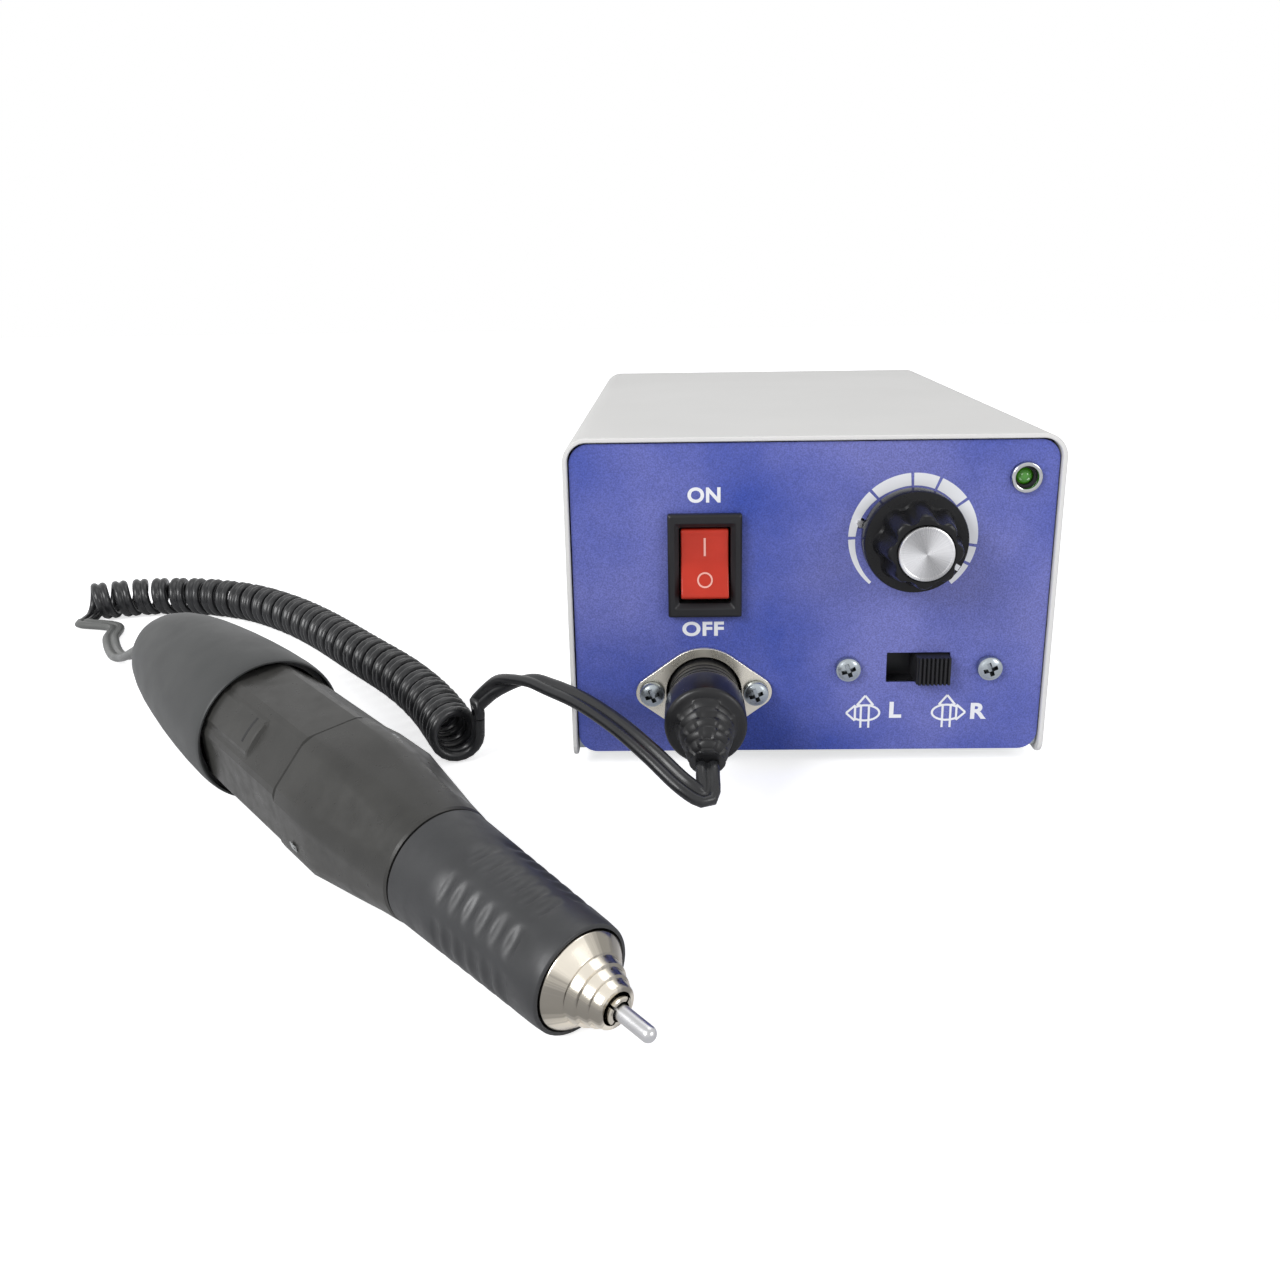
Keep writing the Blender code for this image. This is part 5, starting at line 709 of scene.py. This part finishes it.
def make_knob():
    """The fluted knob with its turned cap and its pointer line."""
    flutes = 8
    turns = full_turn(flutes * 16)

    def loop(radius, z, flute=0.0):
        return ring(lambda a: radius - flute * (0.5 - 0.5 * math.cos(flutes * a)) ** 1.6, z, turns)

    base, top = 1.2, 14.0
    rim, edge, deep = base + 4.6, 0.5, 1.25
    skirt, body, head = 10.45, 8.6, 7.4
    nest, bore, room, hollow = 5.7, 3.3, 3.7, 7.2
    loops = [loop(skirt - edge, base), loop(skirt - 0.15 * edge, base + 0.3 * edge), loop(skirt, base + edge),
             loop(skirt, rim - edge), loop(skirt - 0.3 * edge, rim - 0.3 * edge), loop(skirt - 2 * edge, rim),
             loop(body + 0.5 * edge, rim + 0.2 * edge, deep * 0.8), loop(body, rim + edge, deep)]
    for k in range(1, 6):
        share = k / 6
        z = rim + edge + (top - 1.6 * edge - rim - edge) * share
        loops.append(loop(body + (head - body) * share, z, deep))
    loops += [loop(head, top - 1.6 * edge, deep), loop(head - 0.35 * edge, top - 0.7 * edge, deep * 0.9),
              loop(head - edge, top - 0.2 * edge, deep * 0.6), loop(head - 2 * edge, top, deep * 0.3),
              loop(nest, top), loop(nest, top - 1.0), loop(bore, top - 1.0), loop(bore, room),
              loop(hollow, room), loop(hollow, base)]
    place = front_place(*KNOB)
    piece(skin(loops, True), "fluted_knob", "knob_black", "speed_knob", "speed_control", place, 30)

    r, proud = 5.4, top + 0.7
    profile = [(0, top - 0.7), (r, top - 0.7), (r, proud - 0.25), (r - 0.08, proud - 0.08), (r - 0.25, proud),
               (r - 0.6, proud), (r - 0.7, proud - 0.05), (0, proud - 0.02)]
    piece(turned(profile, 96), "knob_face", "turned_aluminium", "knob_cap", "speed_control", place, 25)

    line = bmesh.new()
    spin = Matrix.Rotation(math.radians(-32), 4, "Z")
    half = 0.6
    stations = [(body + 0.35, rim + 0.05), (skirt - 0.9, rim + 0.05), (skirt - 0.1, rim - 0.25),
                (skirt + 0.04, rim - edge), (skirt + 0.04, base + edge)]
    for (r0, z0), (r1, z1) in zip(stations, stations[1:]):
        corners = ((r0, -half, z0), (r0, half, z0), (r1, half, z1), (r1, -half, z1))
        line.faces.new([line.verts.new(spin @ Vector(p)) for p in corners])
    bmesh.ops.remove_doubles(line, verts=line.verts, dist=1e-3)
    bmesh.ops.solidify(line, geom=line.faces[:], thickness=0.05)
    piece(line, "knob_pointer", "print_white", None, "speed_control", place)


def round_end(radius, middle, angles):
    """Points of a rounded end in a profile."""
    turns = [math.radians(d) for d in angles]
    return [(radius * math.cos(a), middle + radius * math.sin(a)) for a in turns]


def make_lamp():
    """The power light: chrome ring, green lens, and between them a dark sleeve of painted shade for the ring's bore.
    """
    place = front_place(*LAMP)
    r, proud, edge = 3.15, 1.1, 0.35
    rim = [(r - edge + x, z) for x, z in round_end(edge, proud - edge, (22, 45, 68, 90))]
    profile = [(2.3, -6), (2.8, -6), (2.8, TOUCH), (r, TOUCH), (r, proud - edge)] + rim
    profile += [(2.55, proud), (2.38, proud - 0.1), (2.3, proud - edge)]
    piece(turned(profile, 72), "light_ring", "chrome", "light_holder", place=place)
    lens = 1.75
    profile = [(0, -5.5), (2.0, -5.5), (2.0, -4.5), (lens, -4.5), (lens, -lens)]
    profile += round_end(lens, -lens, range(9, 90, 9)) + [(0, 0)]
    piece(turned(profile, 48), "green_lens", "green_light", "light_lens", place=place)
    # Painted shade: a black sleeve in the chrome ring's bore, round the lens
    sleeve = [(lens + 0.04, -2.4), (2.27, -2.4), (2.27, -0.6), (lens + 0.04, -0.6)]
    piece(turned(sleeve, 48), "lamp_bore_shade", "black_moulding", place=place)


def make_slider():
    """The ribbed slider of the direction switch in its slot."""
    w, h, low = 7.0, SLOT_SIZE[1] - 2 * TOUCH, -4.6
    ribs, crest, root = 8, 3.0, 2.3
    pitch = w / ribs
    outline = [(-w / 2, low), (w / 2, low)]
    for i in range(ribs):
        x = w / 2 - i * pitch
        outline += [(x, crest - 0.12), (x - 0.12, crest), (x - 0.5 * pitch, crest),
                    (x - 0.58 * pitch, crest - 0.1), (x - 0.68 * pitch, root), (x - 0.86 * pitch, root)]
    outline[-1] = (-w / 2, root)
    x = SLOT[0] + (SLOT_SIZE[0] - w) / 2 - 0.4
    slider = piece(prism(outline, -h / 2, h / 2, ALONG_Y), "ribbed_slider", "black_moulding",
                   "direction_slider", "direction_slider", front_place(x, SLOT[1]))
    soften(slider, 0.07, 2, 40)


def make_socket():
    """The nickel flange with its rolled sleeve."""
    place = front_place(*SOCKET)
    big, small, reach, bore = 9.9, 3.4, 11.0, 7.95
    lean = math.degrees(math.acos((big - small) / reach))
    outline = arc(reach, 0, small, -lean, lean, 16) + arc(0, 0, big, lean, 180 - lean, 24)
    outline += arc(-reach, 0, small, 180 - lean, 180 + lean, 16) + arc(0, 0, big, 180 + lean, 360 - lean, 24)
    flange = piece(prism(outline, TOUCH, TOUCH + FLANGE_SHEET), "socket_plate", "flange_nickel",
                   "socket_flange", place=place)
    cut_out(flange, prism(circle(bore + 0.6, 72), -12, TOUCH + FLANGE_SHEET / 2), place, "UNION")
    waste = prism(circle(bore, 72), -13, FLANGE_SHEET + 1)
    for side in (-1, 1):
        prism(circle(SHANK_HOLE, 24, side * SOCKET_SCREW_PITCH / 2), -0.5, FLANGE_SHEET + 1, None, waste)
    cut_out(flange, waste, place)
    soften(flange, 0.12, 2, 40)


HAND_TURNS = full_turn(8 * 18, FIRST_FLAT)


def off_flat(angle, first=FIRST_FLAT, span=FLAT_SPAN):
    """How far an angle is from the middle of the flat, or tab, that it lies in."""
    return (angle - first + span / 2) % span - span / 2


def faceted(z, flat, corner, pad=None):
    """A turned bar with eight flats, and with a raised tab over one of them if pad gives its radius."""
    tab_edge, tab_slope = math.radians(15.4), math.radians(0.8)

    def size(a):
        r = min(corner, flat / math.cos(off_flat(a)))
        if pad:
            off = abs(off_flat(a, FIRST_FLAT + FLAT_SPAN, 2 * math.pi))
            lift = min(1.0, max(0.0, (tab_edge - off) / tab_slope))
            r = max(r, r + (pad - r) * lift)
        return r

    return ring(size, z, HAND_TURNS)


def rings(stations):
    """Round loops of the handpiece, from pairs of radius and station."""
    return [ring(r, z, HAND_TURNS) for r, z in stations]


def make_rear_cap():
    """The smooth rear cap, a moulded egg shape with a step at its lip."""
    outside = [(4.6, -70.0), (5.6, -69.4), (6.75, -68.2), (8.1, -66.0), (9.45, -63.0), (10.75, -59.0),
               (11.85, -54.0), (12.8, -48.0), (13.5, -42.0), (14.18, -35.0), (14.70, -28.0), (15.05, -21.0),
               (15.2, -14.0), (15.15, -12.0), (15.05, -10.6), (14.95, -9.95), (14.8, -9.7)]
    inside = [(14.5, -9.7), (14.5, -12.2), (13.4, -12.2), (13.5, -14), (13.0, -28), (11.7, -42), (10.1, -54),
              (7.6, -63), (2.7, -66.3), (2.7, CAP_REAR), (3.6, CAP_REAR)]
    piece(turned(outside + inside, 96), "smooth_rear_cap", "rear_cap_grey", "rear_cap", place=HAND, smooth=40)


def add_mark(bm, turns, low, high, radius, depth=0.12):
    """A thin patch that lies on the round of the handpiece between two stations."""
    rows = [ring(r, z, turns) for r in (radius - depth, radius) for z in (low, high)]
    a, b, c, d = [[bm.verts.new(p) for p in row] for row in rows]
    for i in range(len(turns) - 1):
        bm.faces.new((a[i], a[i + 1], b[i + 1], b[i]))
        bm.faces.new((c[i], d[i], d[i + 1], c[i + 1]))
        bm.faces.new((a[i], c[i], c[i + 1], a[i + 1]))
        bm.faces.new((b[i], b[i + 1], d[i + 1], d[i]))
    for i in (0, -1):
        bm.faces.new((a[i], b[i], d[i], c[i]))


def make_housing():
    """The motor housing with eight flats and a raised tab, with a patch of painted shade where its small slot is."""
    corner, flat, tab, collar = 13.7, 12.9, 13.8, 33.3
    start, stop = -11.9, RING_REAR - TOUCH
    loops = rings([(12.8, -22), (12.8, start)])
    loops += [faceted(start, flat, corner, tab), faceted(7.6, flat, corner, tab),
              faceted(8.0, flat, corner, tab - 0.12), faceted(8.4, flat, corner),
              faceted(stop - 0.6, flat, corner), faceted(stop, flat - 0.6, corner - 0.7)]
    loops += rings([(11.9, stop), (11.9, collar), (5.7, collar), (5.7, 20.4), (11.6, 20.4), (11.6, -22)])
    piece(skin(loops, True), "faceted_housing", "handpiece_grey", "motor_housing", place=HAND, smooth=12)
    # A thin black patch of painted shade stands for the slot, which is not cut
    mark = bmesh.new()
    add_mark(mark, [math.radians(37 + k * 1.5) for k in range(15)], 4.7, 5.3, tab + 0.03)
    piece(mark, "tab_slot_shade", "slot_shade_black", place=HAND)


def add_lock_sign(bm, angle, station):
    """A generic closed lock: a filled body with a bow."""
    radius = 13.86
    for across, along, width, length in ((0, 0, 1.5, 1.1), (-0.5, 0.95, 0.28, 0.8), (0.5, 0.95, 0.28, 0.8),
                                         (0, 1.4, 1.28, 0.28)):
        turns = [angle + (across + width * (k / 4 - 0.5)) / radius for k in range(5)]
        add_mark(bm, turns, station + along - length / 2, station + along + length / 2, radius)


def make_chuck_ring():
    """The chuck ring: eight flats that run out on its front cone, with two small lock signs."""
    corner, flat = 14.0, 13.4
    cone = ((35.0, 13.45, 12.95), (38.5, 12.85, 12.45), (42.0, 12.25, 11.95), (45.5, 11.65, 11.45),
            (49.0, 11.02, 10.9))
    loops = [faceted(RING_REAR, flat - 0.35, corner - 0.4), faceted(RING_REAR + 0.4, flat, corner),
             faceted(32.0, flat, corner)]
    loops += [faceted(z, f, c) for z, c, f in cone]
    loops += rings([(10.42, RING_FRONT - 0.5), (10.15, RING_FRONT), (9.0, RING_FRONT), (9.0, 44),
                    (12.3, 34.3), (12.3, RING_REAR)])
    piece(skin(loops, True), "faceted_ring", "handpiece_grey", "chuck_ring", "chuck_ring", HAND, 12)
    marks = bmesh.new()
    for angle, station in ((-25, 29.5), (104, 27.5)):
        add_lock_sign(marks, math.radians(angle), station)
    piece(marks, "ring_lock_signs", "mark_pale", None, "chuck_ring", HAND)


def make_grip():
    """The front grip: a long cone with rows of shallow milled notches."""
    rear, rear_radius = RING_FRONT + TOUCH, 10.2
    notch_reach, notch_depth, notch_half = 1.2, 0.45, math.radians(18)
    rows = [67.0 + i * 3.2 for i in range(6)]

    def grip_radius(z):
        if z <= GRIP_EDGE:
            return rear_radius + (GRIP_EDGE_RADIUS - rear_radius) * (z - rear) / (GRIP_EDGE - rear)
        share = (z - GRIP_EDGE) / (GRIP_FRONT - GRIP_EDGE)
        return GRIP_EDGE_RADIUS + (GRIP_FRONT_RADIUS - GRIP_EDGE_RADIUS) * share

    stations = {rear + 0.25, GRIP_EDGE - 0.3, GRIP_EDGE + 0.3, GRIP_FRONT - 0.25}
    stations.update(z + (k - 4) * 0.3 for z in rows for k in range(9))
    stations.update(rear + k * 3 for k in range(1, 5))
    loops = rings([(8.6, 33.6), (8.6, rear), (grip_radius(rear) - 0.25, rear)])
    for z in sorted(stations):
        depth = 0.0
        for row in rows:
            off = abs(z - row) / notch_reach
            if off < 1:
                depth = notch_depth * math.cos(off * math.pi / 2)

        def size(a):
            off = abs(off_flat(a)) / notch_half
            share = math.cos(min(off, 1.0) * math.pi / 2) ** 0.8 if depth else 0.0
            return grip_radius(z) - depth * share

        loops.append(ring(size, z, HAND_TURNS))
    loops += rings([(GRIP_FRONT_RADIUS - 0.06, GRIP_FRONT - 0.08), (GRIP_FRONT_RADIUS - 0.2, GRIP_FRONT),
                    (7.8, GRIP_FRONT), (7.8, 88), (5.6, 88), (5.6, 33.6)])
    piece(skin(loops, True), "notched_grip", "grip_black", "front_grip", place=HAND)


def make_nose():
    """The nickel nose: a polished cone with steps, the slit collet and the pin."""
    profile = [(2.5, 84.3), (5.3, 84.3), (5.3, 88.3), (7.5, 88.3), (7.5, 90.1), (7.42, 90.3), (6.9, 90.9),
               (5.6, 92.35), (5.45, 92.5), (5.2, 92.55), (5.1, 92.7), (4.98, 93.6), (4.8, 94.15),
               (4.35, 94.25), (4.25, 94.4), (4.12, 95.3), (3.98, 95.8), (3.6, 95.9), (3.5, 96.05),
               (3.4, 96.9), (3.25, 97.4), (3.1, 97.6), (2.5, 97.6)]
    piece(turned(profile, 96), "stepped_nose", "nose_nickel", "nose_cone", place=HAND, smooth=28)

    front, back, bore, outer = 98.4, 76.4, 1.475, 2.1
    profile = [(bore, back), (outer, back), (outer, front - 0.2), (outer - 0.2, front), (bore, front)]
    collet = piece(turned(profile), "slit_collet", "nickel", "collet", "collet", Matrix(), 30)
    slits = bmesh.new()
    for i in range(4):
        turn = Matrix.Rotation(math.radians(45 + 90 * i), 4, "Z")
        prism(rectangle(outer, 0.4, 0, 2.3, 0), front - 9, front + 1, turn, slits)
    cut_out(collet, slits, Matrix())
    collet.data.transform(HAND)

    r, tip = 1.175, 105.0
    profile = [(0, tip - 26), (r, tip - 26), (r, tip - 1.05 * r)] + round_end(r, tip - r, range(9, 90, 9))
    piece(turned(profile + [(0, tip)], 40), "round_pin", "steel", "mandrel", "mandrel", HAND)


def smooth_run(points, step):
    """Points at even steps on a smooth curve through the given ones."""
    knots = [Vector(p) for p in points]
    knots = [2 * knots[0] - knots[1]] + knots + [2 * knots[-1] - knots[-2]]
    fine = []
    for a, b, c, d in zip(knots, knots[1:], knots[2:], knots[3:]):
        for i in range(24):
            t = i / 24
            fine.append(((2 * b) + (c - a) * t + (2 * a - 5 * b + 4 * c - d) * t * t
                         + (3 * b - a - 3 * c + d) * t * t * t) / 2)
    fine.append(knots[-2])
    reach = [0.0]
    for a, b in zip(fine, fine[1:]):
        reach.append(reach[-1] + (b - a).length)
    count = max(2, round(reach[-1] / step))
    even, j = [], 0
    for i in range(count + 1):
        target = reach[-1] * i / count
        while j < len(reach) - 2 and reach[j + 1] < target:
            j += 1
        share = (target - reach[j]) / (reach[j + 1] - reach[j])
        even.append(fine[j].lerp(fine[j + 1], share))
    return even


def run_length(points):
    """Length of a run of points."""
    return sum((b - a).length for a, b in zip(points, points[1:]))


def tangents(points):
    """Directions along a run of points."""
    ends = [points[0]] + list(points) + [points[-1]]
    return [(c - a).normalized() for a, c in zip(ends, ends[2:])]


def cord_mesh(points, faces, first, last):
    """The flat twin cord, two cores and a thin web, along points between two end directions."""
    turns = [math.radians(a) for a in range(-150, 151, 20)]
    core = [(0.5 + 0.5 * math.cos(t), 0.5 * math.sin(t)) for t in turns]
    core += [(-w, -t) for w, t in core]
    rows = []
    for point, forward, face in zip(points, [first] + tangents(points)[1:-1] + [last], faces):
        face = (face - forward * face.dot(forward)).normalized()
        wide = face.cross(forward)
        rows.append([point + LOBE * MM * (wide * w + face * t) for w, t in core])
    return skin(rows)


def coil_points(per_curl):
    """The curly cord's middle line, the directions away from its axis and its two end directions."""
    rise = (TABLE_Z + COIL_RADIUS + LOBE / 2 + CORD_REST) * MM
    radius, up = COIL_RADIUS * MM, Vector((0, 0, 1))
    steps = round(CURLS * per_curl)
    route = smooth_run([(x * MM, y * MM, rise) for x, y in COIL_ROUTE], LOBE * MM)
    length = run_length(route)
    middle = smooth_run(route, length / steps)
    points, faces, ways = [], [], []
    for i, (centre, forward) in enumerate(zip(middle, tangents(middle))):
        turn = 2 * math.pi * (steps - i) / per_curl - math.pi / 2
        side = forward.cross(up).normalized()
        out = side * math.cos(turn) + up * math.sin(turn)
        round_it = side * math.sin(turn) - up * math.cos(turn)
        points.append(centre + out * radius)
        faces.append(out)
        ways.append((forward * length / steps * per_curl + round_it * 2 * math.pi * radius).normalized())
    points = [points[0] - ways[0] * CORD_WIDTH] + points + [points[-1] + ways[-1] * CORD_WIDTH]
    return points, [faces[0]] + faces + [faces[-1]], ways[0], ways[-1]


def lay_cord(name, look, node, points, faces, first, last):
    """One stretch of the cord, made in metres."""
    cord = piece(cord_mesh(points, faces, first, last), name, look, node, place=Matrix(), smooth=60)


def make_cords():
    """The cord in three stretches: the curly cord, plug to coil, and coil to handpiece."""
    coil, faces, first, last = coil_points(POINTS_PER_CURL)
    lay_cord("curly_twin_cord", "cord_black", "curly_cord", coil, faces, first, last)

    lobe, touch = LOBE * MM, TOUCH * MM
    out = PLUG_LENGTH + RELIEF_BEND * math.sin(RELIEF_DROOP)
    down = RELIEF_BEND * (1 - math.cos(RELIEF_DROOP))
    ahead = Vector((0, -math.cos(RELIEF_DROOP), -math.sin(RELIEF_DROOP)))
    mouth = Vector((SOCKET[0] * MM, (FRONT_Y - out) * MM, (SOCKET[1] - down) * MM))
    start, end = mouth + ahead * touch, coil[0] - first * touch
    between = [Vector(p) * MM for p in PLUG_LEAD_ROUTE]
    route = [start, start + ahead * lobe] + between + [end - first * lobe, end]
    lead = smooth_run(route, lobe / 2)
    flat = Vector((0, -math.sin(RELIEF_DROOP), math.cos(RELIEF_DROOP)))
    seen, sides = Vector((0.25, -0.55, 0.80)), []
    for i in range(len(lead)):
        share = i / (len(lead) - 1)
        if share < 0.6:
            sides.append(flat.lerp(seen, min(1.0, share / 0.3)))
        else:
            sides.append(seen.lerp(faces[0], share * 2.5 - 1.5))
    lay_cord("plug_twin_lead", "cord_black", "plug_lead", lead, sides, ahead, first)

    start = coil[-1] + last * touch
    end, mouth = HAND @ Vector((0, 0, CAP_REAR + LOBE)), HAND @ Vector((0, 0, CAP_REAR - LOBE))
    route = [start, start + last * lobe] + [Vector(p) * MM for p in HANDPIECE_LEAD_ROUTE] + [mouth, end]
    lead = smooth_run(route, lobe / 2)
    sides = [Vector((0, 0, 1))] * len(lead)
    lay_cord("grey_twin_lead", "lead_grey", "handpiece_lead", lead, sides, last,
             (end - mouth).normalized())


def make_plug():
    """The moulded plug with its grooves and its ribbed strain relief."""
    start, neck, body = -1.2, 7.4, 8.2
    stations = [(start, neck - 0.4), (start + 0.3, neck)]
    for z in (4.2, 5.9, 7.6):
        stations += [(z - 0.45, neck), (z - 0.35, neck - 0.35), (z + 0.25, neck - 0.35), (z + 0.35, neck)]
    stations += [(8.6, neck + 0.1), (9.0, neck + 0.5), (9.5, body - 0.08), (10.2, body), (17.6, body),
                 (18.2, body - 0.12), (18.6, body - 0.5), (18.75, body - 1.1), (PLUG_LENGTH, 6.3)]
    ribs, wave = 5, (0.0, -0.1, -0.8, -0.8, -0.1)
    root, taper, mouth, slot_depth = 6.1, 2.6, 3.3, 0.35
    count = ribs * len(wave)
    along = [(0.0, r) for _, r in stations]
    for i in range(count):
        share = (i + 0.5) / count
        along.append((share, root - taper * share + wave[i % len(wave)]))
    along.append((1.0, mouth))
    turns = full_turn(72)
    loops = []
    for i, (share, r) in enumerate(along):
        a = RELIEF_DROOP * share
        z = stations[i][0] if i < len(stations) else PLUG_LENGTH + RELIEF_BEND * math.sin(a)
        centre = Vector((0, -RELIEF_BEND * (1 - math.cos(a)), z))
        across, up = Vector((1, 0, 0)), Vector((0, math.cos(a), math.sin(a)))
        rib = (i - len(stations)) // len(wave)
        loop = []
        for t in turns:
            slot = i >= len(stations) and math.cos(4 * t + math.pi * (rib % 2)) < -0.25
            loop.append(centre + (r - slot_depth * slot) * (across * math.cos(t) + up * math.sin(t)))
        loops.append(loop)
    piece(skin(loops), "moulded_plug", "plug_rubber", "din_plug", ROOT, front_place(*SOCKET), 40)


def make_feet():
    """Four rubber feet with a screw recess."""
    profile = [(0, -2.4), (2.6, -2.4), (2.6, -3.8), (2.8, -4.0), (4.9, -4.0), (5.2, -3.85), (5.95, -0.6),
               (5.8, -0.3), (1.8, -0.3), (1.8, 2.4), (1.3, 2.7), (0, 2.7)]
    for i, (fx, fy) in enumerate(CORNERS, 1):
        place = METRES @ Matrix.Translation((fx * FEET[0], fy * FEET[1], 0))
        piece(turned(profile, 48), "rubber_foot_%d" % i, "black_rubber", "foot_%d" % i, place=place)


def make_fuse_cap():
    """The knurled fuse cap with its slot."""
    place = rear_place(*FUSE)
    neck, r, low, high, grip = 4.3, 6.6, 2.5, 7.5, 0.25
    turns = full_turn(96)

    def knurled(radius, z, depth=0.0):
        return ring(lambda a: radius - depth * (0.5 + 0.5 * math.cos(24 * a)), z, turns)

    loops = [knurled(neck, -9.8), knurled(neck, low), knurled(r, low), knurled(r, low + 0.5, grip),
             knurled(r, high - 0.8, grip), knurled(r - 0.5, high)]
    cap = piece(skin(loops), "fuse_cap_knurled", "black_moulding", "fuse_cap", "fuse_cap", place, 30)
    cut_out(cap, prism(rectangle(1.2, 15), high - 1.2, high + 1), place)


# Solids that show as they are, by finish
CARRIED = {
    "zinc_plate": ("chassis", "potentiometer_nut"),
    "black_moulding": ("switch_housing", "direction_switch_body", "socket_insert", "mains_inlet",
                       "fuse_holder", "foot_control_jack", "brush_holder"),
    "steel": ("speed_potentiometer", "transformer_core", "transformer_bracket", "armature",
              "rear_motor_bearing", "front_motor_bearing", "rear_spindle_bearing", "front_spindle_bearing",
              "spindle", "chuck_spring"),
    "turned_aluminium": ("potentiometer_shaft",),
    "copper_winding": ("transformer_coil", "commutator"),
    "circuit_board": ("circuit_board",),
    "black_rubber": ("magnet_ring", "brush_1", "brush_2"),
    "nickel": ("plug_shell",),
}


def dress_carried():
    """Materials and smooth rounds for the solids that show as they are."""
    for look, names in CARRIED.items():
        for name in names:
            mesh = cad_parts[name].data
            mesh.materials.clear()
            mesh.materials.append(finish(look))
            for face in mesh.polygons:
                face.material_index = 0
    for name in ("mains_inlet", "fuse_holder", "foot_control_jack"):
        soften(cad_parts[name], 0.25, 2, 40)


place_camera()
make_cords()
light_scene()
lay_floor()
for make in (make_cover, make_overlay, make_print, make_screws, make_switch, make_knob, make_lamp,
             make_slider, make_socket, make_rear_cap, make_housing, make_chuck_ring, make_grip, make_nose, make_plug,
             make_feet, make_fuse_cap, dress_carried):
    make()
bpy.context.view_layer.update()
